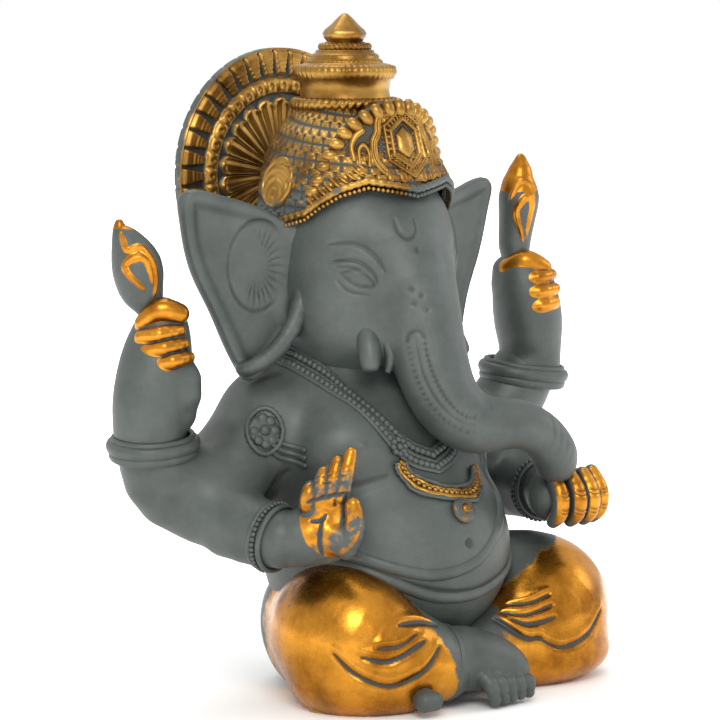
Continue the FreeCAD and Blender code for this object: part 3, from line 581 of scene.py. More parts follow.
RIGHT_PALM = (-44, -46, 0)
RIGHT_FIST, LEFT_FIST = (-78, 0, 0), (82, 0, 0)
# The palm and the fists' fingers face this far round to the figure's right, in degrees; across and ahead of
# them are these unit directions.
VIEW_TURN = -40.0
ACROSS, AHEAD = np.array([0.766, -0.643, 0.0]), np.array([-0.643, -0.766, 0.0])


def right_palm_fingers(points):
    """Four upright fingers side by side and the thumb, each a limb with a pad at its root."""
    rows = [(-7.6, 68, -6.2, 76), (-4.0, 69, -2.2, 80.5), (-0.4, 70, 2.2, 84), (3.2, 71, 6.3, 86.6)]
    field = np.full(len(points), 1e6, np.float32)
    for root, low, tip, high in rows:
        line = [(root, 3.2, low, 2.6), ((root + tip) / 2, 4.2, (low + high) / 2, 2.4),
                (tip, 2.6, high - 1.9, 1.9)]
        field = np.minimum(field, limb(points, beside(RIGHT_PALM, VIEW_TURN, line), 3, 0.6))
    thumb = [(4.5, 4, 55, 4), (7.4, 6.5, 62, 3), (6.9, 7, 69, 2.4)]
    return np.minimum(field, limb(points, beside(RIGHT_PALM, VIEW_TURN, thumb), 3, 1))


def right_palm_field(points):
    """Raised open hand: a thick palm hollowed in its middle, with the heel of the thumb and the fingers."""
    palm = egg(points, (-44, -45, 62), (9.4, 6.4, 11.5), 0, VIEW_TURN)
    palm = melt(palm, limb(points, [(-54.5, -34, 56.5, 8.6), (-49, -40, 57, 8.6), (-45, -44, 58, 8)]), 4)
    palm = melt(palm, egg(points, beside(RIGHT_PALM, VIEW_TURN, [(2.6, 4.2, 57.5)])[0], (5.2, 4.2, 5.2)),
                1.6)
    hollow = egg(points, beside(RIGHT_PALM, VIEW_TURN, [(1.8, 9.4, 66.5)])[0], (4.2, 4.2, 5.0))
    palm = carve(palm, hollow, 1.6)
    backing = limb(points, beside(RIGHT_PALM, VIEW_TURN,
                                  [(-3.4, -0.4, 68, 5.2), (-0.6, 0.2, 75, 4.4), (3.0, 1.0, 81, 2.8)]), 3, 1)
    return melt(melt(palm, backing, 2), right_palm_fingers(points), 0.9)


def left_palm_fingers(points):
    """Four fingers turned down over the hand's front."""
    field = np.full(len(points), 1e6, np.float32)
    for x, y in ((40.3, -60.6), (46.6, -62.2), (52.7, -62), (58.8, -59.8)):
        line = [(x, y + 2.5, 70.5, 2.4), (x, y - 1.4, 64.5, 2.9), (x, y - 1.2, 59, 2.7),
                (x, y + 2, 55.5, 2.2)]
        field = np.minimum(field, limb(points, line, 3, 0.8))
    return field


def left_palm_field(points):
    """Hand held out under the end of the trunk, fingers forward and down."""
    palm = egg(points, (49.6, -52, 63.2), (12.6, 10.2, 9.6), 0, 8)
    palm = melt(palm, limb(points, [(55.5, -38, 62.5, 8.4), (53, -46, 62.5, 8.6)]), 5)
    return melt(palm, left_palm_fingers(points), 0.9)


def fist_fingers(points, side):
    """Three fingers wrapped round the front of a rear fist, one above another, and the top of the thumb."""
    if side < 0:
        rows = [(RIGHT_FIST, 121.4, 8.8, -4.4, 7.6), (RIGHT_FIST, 117.2, 9.6, -2.6, 9),
                (RIGHT_FIST, 113, 10, 1, 10.6)]
        top = limb(points, beside(RIGHT_FIST, VIEW_TURN,
                                  [(-3.8, 4, 124.5, 2.8), (1.4, 4.6, 128.6, 3.6),
                                   (7.4, 3.6, 127.4, 3.4)]), 3, 1)
    else:
        rows = [(LEFT_FIST, 131, 7.6, -1.4, 8.6), (LEFT_FIST, 126.2, 8.6, -2, 9.8),
                (LEFT_FIST, 121.6, 8.8, -0.4, 9.8)]
        top = limb(points, beside(LEFT_FIST, VIEW_TURN,
                                  [(-6, 3.6, 134, 3.2), (-0.6, 5, 136.4, 3.8), (5.4, 3.8, 134, 3.4)]), 3, 1)
    field = top
    for place, up, ahead, start, end in rows:
        line = [(start, ahead - 1.6, up - 1, 2), ((start + end) / 2, ahead + 0.6, up, 2.2),
                (end, ahead - 4, up + 0.8, 2)]
        field = np.minimum(field, limb(points, beside(place, VIEW_TURN, line), 3, 1))
    return field


RIGHT_FIST_LINE = [(-81, 0, 84, 10.6), (-80.6, 0, 99, 11.4), (-78, 0, 112, 10.8), (-76, 0, 121, 8.4),
                   (-75.5, 0, 126, 6)]
LEFT_FIST_LINE = [(82.5, 0, 95, 11.2), (84.2, 0, 105, 9.9), (83.2, 0, 115, 11.2), (81.5, 0, 125, 10.6),
                  (80.5, 0, 132.5, 7.8)]


def fist_field(side):
    """Rear hand rising from its wrist and closed on the stem of what it holds."""
    line = RIGHT_FIST_LINE if side < 0 else LEFT_FIST_LINE
    bumps = [(8.4, 1.5, 104, 6), (7.2, 0, 97, 5.4)] if side < 0 else [(1.5, 4, 112, 6.4), (-7, -1, 131, 4.6)]
    place = RIGHT_FIST if side < 0 else LEFT_FIST

    def field(points):
        hand = limb(points, line, 3, 2)
        for x, y, z, radius in beside(place, VIEW_TURN, bumps):
            hand = melt(hand, taper(points, (x, y, z - 2, radius), (x, y, z + 2, radius)), 3)
        return melt(hand, fist_fingers(points, side), 0.9)
    return field


# What the rear hands hold: (across, ahead, up, radius) of the body and of the raised loops on its front.
RIGHT_HELD = [(-1, 0, 126, 3.4), (-2.9, 0, 131.2, 4.8), (-4.8, 0, 135.6, 7), (-6.1, 0, 142.6, 7.8),
              (-9, 0, 149.7, 4.8),
              (-11.3, 0, 153.5, 2), (-11.5, 0, 156, 1.2)]
RIGHT_LOOPS = [[(-3.6, 135.6), (-8.6, 142), (-6.7, 144.9), (-2.9, 144.2), (-0.7, 137)],
               [(-11.8, 154.8), (-8.6, 147.8), (-4.2, 149), (-0.4, 144), (1.2, 137.5), (0.3, 133)]]
LEFT_HELD = [(-3, 0, 133, 4.2), (-4, 0, 140, 4.9), (-4, 0, 143.6, 5.4), (-3.1, 0, 152.4, 6.3),
             (-2.6, 0, 158.7, 6.8), (-2.8, 0, 163.6, 5.2), (-2.4, 0, 165.4, 3.6), (-2.3, 0, 166.6, 4.2),
             (-2.2, 0, 168.4, 3), (-2.1, 0, 170, 2.4), (-2.1, 0, 172.4, 1.1)]
LEFT_LOOPS = [[(-1, 143.3), (-3.8, 153.8), (0.4, 159.4), (2.5, 155.9), (0.4, 144)],
              [(-5.9, 158), (-2.4, 164.3), (2.5, 162.9), (3.2, 158)]]


def held_field(side):
    """Held emblem: a leaf-shaped body that ends in a point."""
    place, line = (RIGHT_FIST, RIGHT_HELD) if side < 0 else (LEFT_FIST, LEFT_HELD)
    stations = beside(place, VIEW_TURN, line)
    return lambda points: limb(points, stations, 3, 0.8)


def held_lines(side):
    place, loops = (RIGHT_FIST, RIGHT_LOOPS) if side < 0 else (LEFT_FIST, LEFT_LOOPS)
    return [beside(place, VIEW_TURN, [(a, 6, up) for a, up in loop]) for loop in loops]


# ------------------------------------------------------------------ chased lines


BROW = [(-27, -23, 148), (-21.5, -30, 148.5), (-17, -35, 145), (-15, -38, 139.5)]
UPPER_LID = [(-26.5, -25, 143), (-21.5, -31.5, 143), (-18, -35, 139.5), (-16.5, -36, 136)]
INNER_LID = [(-26, -26, 141), (-23, -30, 141), (-20, -33, 139.8)]
EYE = [(-25, -27.5, 138.5), (-21.5, -31.5, 139.8), (-17.2, -35, 135.4), (-21, -31.5, 134.6),
       (-25, -27.5, 138.5)]
LOWER_LID = [(-25.5, -26, 137), (-22.5, -29.5, 133), (-18, -34, 132)]
FOREHEAD_MARK = [(-10, -37, 156.5), (-10, -39, 152), (-7.5, -41, 150), (-4.5, -41, 152), (-4, -39, 156.5)]
TRUNK_LINE = [(-10.4, -47.5, 118), (-9, -50, 107), (-5.6, -54, 97.5), (0, -58.5, 91.5), (5, -61, 90.5)]
TRUNK_LINE_TWO = [(-8, -49, 118), (-6.6, -51.5, 108), (-3.4, -55, 99), (1.4, -58.5, 93.4), (6, -61, 92.6)]


def head_relief(points):
    """Brows, lids, eyes, forehead mark, the feathered line down the trunk and the folds across it."""
    height = np.zeros(len(points), np.float32)
    for side in (-1, 1):
        there = points * np.array([-side, 1, 1], np.float32)
        for line, width, depth in ((BROW, 0.85, 0.65), (UPPER_LID, 0.8, 0.7), (INNER_LID, 0.6, 0.5),
                                   (EYE, 0.6, 0.6),
                                   (LOWER_LID, 0.6, 0.5)):
            height += stroke(there, head_field, line, width, depth)
        height += spot(there, (-21, -32, 137), 2.6, -0.5)
        height += spot(there, (-20.5, -32.6, 137), 0.8, 0.3)
    height += stroke(points, head_field, FOREHEAD_MARK, 0.7, 0.5)
    height += spot(points, (-5.5, -43, 146.5), 0.9, 0.5)
    for line in (TRUNK_LINE, TRUNK_LINE_TWO):
        height += stroke(points, head_field, line, 0.5, 0.4)
    height += feathered(points, head_field, TRUNK_LINE, 2.9, 0.9, 0.4, 1.9)
    for place in ((-9.9, -45, 134), (-7.4, -47.5, 132), (-9.7, -46, 129.4), (-6.3, -49, 127.5),
                  (-8.6, -47, 124.6)):
        height += spot(points, place, 0.9, 0.4)
    for number in range(5):
        x = 31 + 2.4 * number
        fold = [(x - 1, -54, 92 - 3.2 * number), (x + 1.2, -68, 86 - 2.6 * number),
                (x - 2.5, -70, 78.5 - 2 * number)]
        height += stroke(points, head_field, fold, 0.6, 0.22)
    return height + 0.12 * grain(points, 9.0)


def ear_relief(side):
    """Ring on the inner face, with radiating cuts inside its outer half."""
    def relief(points):
        x, z = points[:, 0] * side, points[:, 2]
        across, up = (x - 40) / 9.2, (z - 140.6) / 14.6
        ring, around = np.hypot(across, up), np.arctan2(up, across)
        front = smooth_step(-0.5, 0.5, -points[:, 1] + 0.32 * (x - 27) - 7)
        height = -0.4 * np.exp(-((ring - 1) / 0.05) ** 2) * smooth_step(-0.75, -0.35, across)
        ticks = np.clip(np.cos(around * 26) * 1.6 - 0.6, 0, 1) * smooth_step(0.3, 0.0, across + 0.3 * up)
        height -= 0.4 * np.exp(-((ring - 0.62) / 0.22) ** 2) * ticks
        return height * front + 0.15 * grain(points, 7.0)
    return relief


def torso_relief(points):
    """Navel, the roll under the belly, the crease under each breast, nipples and a slightly uneven skin."""
    height = spot(points, (2.5, -60, 52.5), 1.5, 1.6)
    height += stroke(points, body_field, [(-36, -38, 48), (-25, -52, 42), (-9, -58, 37), (6, -58, 36.5),
                                          (24, -53, 41), (36, -38, 50)], 1.3, 0.7)
    for side in (-1, 1):
        there = points * np.array([-side, 1, 1], np.float32)
        height += stroke(there, body_field, [(-35, -28, 70), (-28.5, -37, 71), (-17, -42.5, 74.5)], 1.2, 0.6)
        height += spot(there, (-25, -39.5, 83.5), 1.5, -0.7) + spot(there, (-25, -40, 83.5), 0.8, 0.5)
        height += stroke(there, body_field, [(-40, -10, 62), (-46, -20, 66), (-43, -24, 74)], 1.5, 0.6)
    return height + 0.2 * grain(points, 11.0)


RIGHT_FOLDS = [[(-38, -61, 23), (-31, -64, 23.5), (-24, -65, 27)],
               [(-42, -58, 20.5), (-34, -63, 19), (-22, -66, 24.5)],
               [(-48, -52, 21.5), (-43, -57, 15), (-34, -63, 11), (-24, -67, 15), (-17, -67, 22)],
               [(-30, -64, 31), (-20, -63, 31), (-14, -61, 27)]]
LEFT_FOLDS = [[(26.5, -51.5, 28.5), (33, -55.5, 29), (40, -57.5, 31.5)],
              [(23.5, -52.5, 26.5), (30, -57, 25.5), (40, -59, 28)],
              [(24.5, -55, 24.5), (30, -58.5, 22.5),
               (40, -61, 24)], [(32, -60, 18), (41, -62.5, 14), (53, -62, 17), (60, -58, 24)],
              [(22, -50, 22), (28, -57, 18), (34, -60, 18)]]


def folds(field, lines):
    """Leaf-shaped folds of the cloth: each a wide shallow trough with a deep line in it and a ridge above."""
    def relief(points):
        height = 0.25 * grain(points, 10.0)
        for line in lines:
            raised = [(x, y, z + 2.2) for x, y, z in line]
            height = height + stroke(points, field, line, 1.1,
                                     0.95) + stroke(points, field, raised, 1.7, -0.5)
        return height
    return relief


def foot_relief(points):
    """Nails on the toes."""
    height = 0.1 * grain(points, 5.0)
    for number in range(5):
        height = height + spot(points, (3.2 + 4.1 * number, -74.2 + 0.5 * number, 4.6), 1.0, 0.3)
    return height


# ------------------------------------------------------------------ crown and halo


# Crown bowl from the rim up: height, radius, and how far the section's centre sits forward.
BOWL = [(151, 31.2, -5), (155, 32, -5), (160, 32.2, -5), (168, 31.2, -4.6), (175, 29, -3.8),
        (181, 25.8, -2.8), (186, 21.6, -1.6), (189.5, 18.2, -0.8), (192, 16.2, 0)]
DIADEM_LEAN = [(150, 32.6), (163, 31.8), (172, 29.2), (180, 27.2), (195, 26.6)]
# Heights of the crown's lower edge and of the diadem's arch at angles from the front, in degrees.
RIM_ARCH = [(0, 165), (15, 166.6), (32, 168), (48, 165.3), (60, 161.5), (70, 157.5), (90, 154.5),
            (180, 154.5)]
DIADEM_ARCH = [(0, 193.6), (12, 193.2), (25, 191), (40, 187), (50, 182.6), (57, 177.6), (63, 172), (70, 163)]


def bowl_at(height):
    """Radius and forward shift of the crown's bowl at each height."""
    rows = flow(BOWL, 6)
    return np.interp(height, rows[:, 0], rows[:, 1]), np.interp(height, rows[:, 0], rows[:, 2])


def rim_height(angle):
    """Height of the crown's lower edge: two shallow arches that rise over the brow."""
    return np.interp(np.abs(np.degrees(angle)), *np.array(RIM_ARCH, float).T)


def round_crown(angle, height, radius, shift):
    """Point at an angle from the front, positive to the figure's left."""
    return np.stack([radius * np.sin(angle), shift - radius * np.cos(angle), height], -1)


def wave(values):
    """Rounded repeating groove, 0 on the lands and 1 in the groove, once for each unit."""
    return np.exp(-((values - np.round(values)) / 0.13) ** 2)


def make_bowl_mesh():
    """Bowl with curved courses of small squares, each with a dot: a grid of grooves in angle and height."""
    angle, share = np.meshgrid(np.linspace(-math.pi, math.pi, 560, endpoint=False), np.linspace(0, 1, 130),
                               indexing="ij")
    low = rim_height(angle)
    height = low + (192 - low) * share
    radius, shift = bowl_at(height)
    course = (height + 3.4 * np.cos(angle) - 150) / 5.2
    square = angle * 42 / (2 * math.pi) + 0.5 * (np.floor(course + 0.5) % 2)
    groove = np.maximum(wave(course), wave(square))
    across, up = square - np.floor(square) - 0.5, course - np.floor(course) - 0.5
    dot = np.exp(-((across * 4.0) ** 2 + (up * 4.6) ** 2) / 0.55)
    ring = np.exp(-((np.hypot(across * 4.0, up * 4.6) - 1.35) / 0.35) ** 2)
    lift = -0.6 * groove + 0.3 * dot - 0.15 * ring
    grid = round_crown(angle, height, radius + lift, shift)
    recess = np.clip(0.85 * groove + 0.3 * ring, 0, 1)
    gilt = smooth_step(157, 170, height + 2 * np.sin(angle * 7)) * 0.6 + 0.2
    return grid, recess, gilt


def gap_flat(across, up, path):
    """Distance in a flat drawing from a line through a path's points."""
    best = np.full(across.shape, 1e6)
    path = flow(path, 6) if len(path) > 2 else np.array(path, float)
    for a, b in zip(path[:-1], path[1:]):
        run = b - a
        t = np.clip(((across - a[0]) * run[0] + (up - a[1]) * run[1]) / max(run @ run, 1e-9), 0, 1)
        best = np.minimum(best, np.hypot(across - a[0] - t * run[0], up - a[1] - t * run[1]))
    return best


def ridge(gap, width, height):
    """Round-topped raised line."""
    return height * np.sqrt(np.clip(1 - (gap / width) ** 2, 0, 1))


def diadem_top(angle):
    """Height of the diadem's upper edge: a pointed arch over the front."""
    return np.interp(np.abs(np.degrees(angle)), *np.array(DIADEM_ARCH, float).T)


# The diadem's drawing, in mm across (to the figure's left, and mirrored) and up.
SCROLL = [(3.6, 187.4), (5.4, 190), (8.6, 189.6), (10.6, 187), (11.4, 183.6), (13.4, 180.4), (13.6, 175.4),
          (11.2, 171.8)]
SMALL_SCROLL = [(17, 184.4), (20, 182.6), (22, 179.4), (21.6, 175.6)]
ARCH_MOTIF = [(16.2, 173.4), (15.8, 177.4), (17.4, 179.8), (19.4, 178.2), (19.6, 174.4)]
GADROON = [(20, 171.6), (25, 169.6), (30, 166.6), (34.5, 163), (38.5, 159.5)]


def diadem_lift(across, up):
    """Relief of the diadem: scrolls with dotted heads, a hexagonal jewel in beaded borders, drops and
    gadroons."""
    side = np.abs(across)
    scroll = gap_flat(side, up, SCROLL)
    lift = ridge(scroll, 1.7, 1.3) - ridge(scroll, 0.5, 0.5)
    scroll_head = np.hypot(side - 7, up - 187.2)
    lift = np.maximum(lift, ridge(scroll_head, 2.3, 1.6) - ridge(scroll_head, 0.7, 1.0))
    lift = np.maximum(lift, ridge(gap_flat(side, up, SMALL_SCROLL), 1.2, 1.0))
    lift = np.maximum(lift, ridge(gap_flat(side, up, ARCH_MOTIF), 0.9, 1.0))
    lift = np.maximum(lift, ridge(np.hypot(side - 17.8, up - 175.6), 1.2, 1.1))
    for place, size in ((4.5, 1.9), (9.4, 1.6), (13.6, 1.3)):
        drop = np.hypot((side - place) / 1.0, (up - 169.6) / 1.3)
        lift = np.maximum(lift, ridge(drop, size, 1.5))
    angled = np.maximum(side / 4.3, side / 8.6 + np.abs(up - 180.4) / 5.5)
    lift = np.where(angled < 2.15, 0, lift)
    for middle, width, high in ((0.0, 0.95, 2.0), (1.42, 0.2, 1.5), (1.98, 0.16, 1.4)):
        lift = np.maximum(lift, ridge(np.abs(angled - middle), width, high))
    along = np.arctan2((up - 180.4) * 0.8, side)
    lift = np.maximum(lift, ridge(np.abs(angled - 1.7), 0.17, 1.0) * (np.cos(along * 30) * 0.5 + 0.5))
    ribs = 0.55 + 0.45 * np.cos(2 * math.pi * (side * 0.75 - up * 0.95) / 3.0)
    rope = ridge(gap_flat(side, up, GADROON), 2.6, 1.5) * ribs
    return np.maximum(lift, rope)


def make_diadem_mesh():
    """Diadem standing on the front of the bowl: a leaning shell between the rim and an arch, with its
    relief."""
    share_across, share = np.meshgrid(np.linspace(-1, 1, 430), np.linspace(0, 1, 150), indexing="ij")
    angle = share_across * 1.2
    low = rim_height(angle) - 0.5
    high = np.maximum(diadem_top(angle), low + 1.5)
    height = low + (high - low) * share
    rows = flow(DIADEM_LEAN, 5)
    radius = np.interp(height, rows[:, 0], rows[:, 1])
    shift = bowl_at(height)[1]
    edge = smooth_step(0, 0.04, share) * smooth_step(1, 0.97, share)
    edge *= smooth_step(1, 0.985, np.abs(share_across))
    lift = diadem_lift(angle * 32, height)
    fine = 0.18 * np.sin(angle * 32 * 4.2) * np.sin(height * 4.2)
    front = round_crown(angle, height, radius + (lift + fine * (lift < 0.3)) * edge, shift)
    back_radius = np.minimum(radius - 1.2, bowl_at(height)[0] + 1.2)
    back = round_crown(angle, height, back_radius, shift)
    recess = np.clip(1 - lift / 0.7, 0, 1) * (0.75 + 0.25 * (fine < 0))
    return front, back, recess


def shell(front, back):
    """Closed skin round a front and a back grid of the same size."""
    nu, nv = front.shape[:2]
    points, quads = surface(front)
    number = np.arange(nu * nv).reshape(nu, nv)
    edge = np.concatenate([number[:, 0], number[-1, 1:], number[-2::-1, -1], number[0, -2:0:-1]])
    after = np.roll(edge, -1)
    count = nu * nv
    rim = np.stack([edge, edge + count, after + count, after], 1)
    return np.vstack([points, back.reshape(-1, 3)]), np.vstack([quads, quads[:, ::-1] + count, rim])


def lathe(profile, count=180, ripple=None, shift=0.0):
    """Profile of (height, radius) carried round the upright axis and closed at both ends; ripple(angle,
    height) is added to the radius."""
    rows = np.array(profile, float)
    angle, height = np.meshgrid(np.linspace(0, 2 * math.pi, count, endpoint=False), rows[:, 0],
                                indexing="ij")
    radius = np.broadcast_to(rows[:, 1], angle.shape)
    if ripple is not None:
        radius = radius + ripple(angle, height)
    grid = np.stack([radius * np.sin(angle), shift - radius * np.cos(angle), height], -1)
    grid[:, 0] = grid[:, 0].mean(0)
    grid[:, -1] = grid[:, -1].mean(0)
    return surface(grid.transpose(1, 0, 2), wrap_v=True)


def rope_ring(radius, height, thickness, strands, shift=0.0, lay=1.0):
    """Ring twisted like rope: its round section has a ripple that winds as it goes round."""
    angle = np.linspace(0, 2 * math.pi, 288, endpoint=False)
    path = np.stack([radius * np.sin(angle), shift - radius * np.cos(angle), np.full_like(angle, height)],
                    -1)

    def twist(length, around):
        return 0.16 * thickness * (np.abs(np.sin(length / radius * strands / 2 + lay * around)) * 2 - 1)
    return tube(path, thickness, 16, closed=True, ripple=twist)


def make_finial_parts():
    """Twisted ring, plain neck, ribbed flange, two rolls, a small rope and the faceted bud, one above
    another."""
    def ribs(angle, height):
        return 0.4 * np.abs(np.sin(angle * 24)) * (height > 200.4) * (height < 205.6)

    def facets(angle, height):
        return -1.0 * np.abs(np.sin(angle * 2.5)) * np.exp(-((height - 215.6) / 2.6) ** 2)
    neck = lathe([(189, 15.5), (192, 15.4), (194.5, 15), (197, 14.6), (200, 15.2), (200.4, 16),
                  (202.5, 16.8), (204.6, 16.4), (205.2, 14.6), (205.8, 12.2), (206.8, 12.1), (207.2, 11.2),
                  (207.8, 11.4), (208.6, 10.8), (209, 9.8), (209.8, 9.6), (210.4, 7.4), (212.6, 6.6),
                  (213, 5.2)], 288, ribs)
    bud = lathe([(211.6, 5.2), (212.6, 6), (214, 7.2), (215.4, 7.7), (216.6, 6.9), (218.4, 4.6),
                 (219.8, 3.2), (221, 1.9), (221.8, 0.9), (222, 0)], 128, facets)
    ropes = [rope_ring(16.4, 192.4, 1.8, 46), rope_ring(7.6, 211, 1.15, 30, lay=-1),
             rope_ring(11.8, 205.9, 0.7, 50)]
    return [neck, bud, *ropes]


HALO, HALO_RADIUS = (0, 36, 168), 42.4


def make_halo_mesh():
    """Fan on a polar grid: an outer ring of forty ribbed teeth, a dotted ring and long radial petals inside;
    the relief is on the front, and the back is plain with a raised rim."""
    turn, share = np.meshgrid(np.linspace(0, 2 * math.pi, 720, endpoint=False), np.linspace(0, 1, 84),
                              indexing="ij")
    full_turn = 2 * math.pi
    tooth, dot, petal = turn * 40 / full_turn, turn * 36 / full_turn, turn * 22 / full_turn
    away = np.abs(tooth - np.round(tooth)) * 2
    radius = share * HALO_RADIUS
    taper_in = 1 - 0.42 * smooth_step(40.5, 33, radius)
    land = smooth_step(taper_in * 0.92, taper_in * 0.74, away)
    tooth_band = smooth_step(32.8, 34, radius) * smooth_step(42, 40.8, radius)
    outer = land * (1.5 + 0.25 * np.sin(radius * 4.4) * (radius < 38.5)) * tooth_band
    rim = 0.4 * smooth_step(41.6, 42.1, radius)
    dotted = ridge(np.abs(radius - 29.8), 2.7, 2.1)
    bead = np.exp(-((np.abs(dot - np.round(dot)) * 5.2) ** 2 + (radius - 30) ** 2) / 0.5)
    notch = wave(dot + 0.5) * (np.abs(radius - 29.8) < 2.2)
    beside_petal = np.abs(petal - np.round(petal)) * 2
    lobe_end = 26.2 - 2.4 * beside_petal ** 2
    inside = smooth_step(lobe_end + 0.4, lobe_end - 0.6, radius) * smooth_step(2, 6, radius)
    lip = 0.5 * np.exp(-((radius - lobe_end + 1.2) / 0.8) ** 2)
    ribs = 1.0 + 0.35 * np.cos(beside_petal * math.pi * 1.6) + lip
    petals = inside * ribs * smooth_step(1.0, 0.88, beside_petal)
    lift = outer + rim + dotted - 0.7 * bead - 0.5 * notch + petals
    level = np.zeros_like(turn)
    disc = np.array(HALO, float) + np.stack([radius * np.sin(turn), level, radius * np.cos(turn)], -1)
    front = disc + np.stack([level, -1.6 - lift, level], -1)
    plain_back = 1.8 - 0.8 * (share > 0.93) + 0.5 * land * (radius > 33)
    back = disc + np.stack([level, plain_back, level], -1)
    recess = np.clip(1 - lift / 0.8, 0, 1) * smooth_step(42.2, 41.6, radius) * 0.85
    gilt = smooth_step(42.6, 42.2, radius) * (0.85 - 0.25 * (radius < 27))
    return front, back, recess, gilt


# ------------------------------------------------------------------ strands, rings and small pieces


def spaced(path, pitch, closed=False):
    """Points at even steps along a path."""
    path = np.vstack([path, path[:1]]) if closed else np.asarray(path)
    length = np.concatenate([[0], np.cumsum(np.linalg.norm(np.diff(path, axis=0), axis=1))])
    count = max(int(round(length[-1] / pitch)), 2)
    places = np.linspace(0, length[-1], count + 1)
    places = places[:-1] if closed else places
    return np.stack([np.interp(places, length, path[:, axis]) for axis in range(3)], 1)


def girdle(field, middle, normal, reach=30.0, count=180):
    """Ring where a plane through the middle first leaves a field's shape, found along rays in the plane."""
    x, y, _ = frames_from([normal])
    angle = np.linspace(0, 2 * math.pi, count, endpoint=False)[:, None]
    way = np.cos(angle) * x + np.sin(angle) * y
    steps = np.linspace(0, reach, 121)
    places = np.array(middle, float) + way[:, None] * steps[None, :, None]
    values = field(places.reshape(-1, 3).astype(np.float32)).reshape(count, -1)
    last = np.maximum((values > 0).argmax(1), 1)
    row = np.arange(count)
    low, high = values[row, last - 1], values[row, last]
    out = steps[last - 1] + (steps[1] - steps[0]) * low / (low - high)
    return np.array(middle, float) + way * out[:, None]


def laid(field, line, steps=8):
    """Smooth line through given points, laid on a surface, with the outward direction at each point."""
    path = settle(field, flow(line, steps)[:, :3].astype(np.float32))
    return path.astype(float), slope(field, path)[1].astype(float)


def cord_on(field, line, radius, lift=0.4, ripple=None, closed=False, flatten=0.8):
    path, way = laid(field, line)
    if closed:
        path, way = path[:-1], way[:-1]
    return tube(path + way * lift, radius, 12, closed=closed, flatten=flatten, outward=way, ripple=ripple)


def bead_row(field, line, radius, pitch, lift=0.3, closed=False):
    path = spaced(laid(field, line)[0], pitch, closed)
    way = slope(field, path.astype(np.float32))[1]
    return beads(path + way * lift, radius, ways=way)


def strip_on(field, inner, outer, lift):
    """Thin raised strip between two lines on a surface, crowned across its width."""
    low, high = flow(inner, 12)[:, :3], flow(outer, 12)[:, :3]
    share = np.linspace(0, 1, 15)[None, :, None]
    grid = low[:, None] * (1 - share) + high[:, None] * share
    shape = grid.shape
    flat = settle(field, grid.reshape(-1, 3).astype(np.float32))
    way = slope(field, flat)[1].reshape(shape)
    flat = flat.reshape(shape)
    crown = lift * np.sin(share * math.pi) ** 0.5
    return shell(flat + way * crown, flat - way * 0.8)


def twisted(pitch, depth):
    return lambda length, around: depth * np.sin(2 * math.pi * length / pitch + around)


CHEST_STRAND = [(0, -45, 80), (-8, -43, 83.6), (-14.5, -40, 90), (-20, -34, 97.5), (-24, -21.5, 106),
                (-28, -8, 112),
                (-28, 3, 114), (-19, 19, 116), (0, 26, 117)]
COLLAR_INNER = [(-11, -43, 78), (-9.6, -45.6, 74), (-2, -50.3, 70), (4, -51, 69), (10.6, -49.5, 69.5),
                (16, -45, 74)]
COLLAR_OUTER = [(-14.5, -42, 78), (-14.4, -45, 74.5), (-10, -51, 68.4), (-2, -54.5, 65.4),
                (7.6, -54.4, 64.6), (15.5, -50, 68), (19, -44, 74)]
PENDANT = (2.3, -56, 62.4)
BELLY_CORD = [(-43, -20, 54), (-34, -43.5, 49.6), (-20.5, -54.5, 44.7), (-9, -58.6, 43), (4.7, -59.8, 46),
              (16, -56.7, 53.3), (24.5, -49, 60), (28.5, -42.5, 66), (27, -39, 74), (23, -37, 82)]
WAIST = [(-43, -16, 50), (-35, -41, 46), (-24, -52.5, 40.5), (-9, -57, 35), (6, -57.5, 34.5), (24, -52, 39),
         (38, -36, 46),
         (43, -12, 50), (36, 18, 50), (12, 32, 50), (-14, 32, 50), (-34, 18, 50)]


def round_back(line):
    """A line from the front to the back, carried on round the other side to where it began."""
    return line + [(-x, y, z) for x, y, z in line[-2::-1]]


def lower(line, drop):
    return [(x * 1.02, y * 1.02, z - drop) for x, y, z in line]


def make_bead_strand():
    ring = round_back(CHEST_STRAND)
    rows = [bead_row(body_field, ring, 1.35, 2.0), bead_row(body_field, lower(ring, 4.6), 1.35, 2.0)]
    edges = [cord_on(body_field, lower(ring, drop), 0.8, 0.3, closed=True) for drop in (-2.3, 2.3, 6.9)]
    flower = settle(body_field, [(-12.5, -41, 83)])
    way = slope(body_field, flower)[1]
    x, y, _ = frames_from(way)
    angle = np.linspace(0, 2 * math.pi, 9)[:-1, None]
    petals = flower + (np.cos(angle) * x + np.sin(angle) * y) * 2.3
    return joined(rows + edges + [beads(petals + way * 0.8, 1.15), beads(flower + way * 1.1, 1.3, 9, 14)])


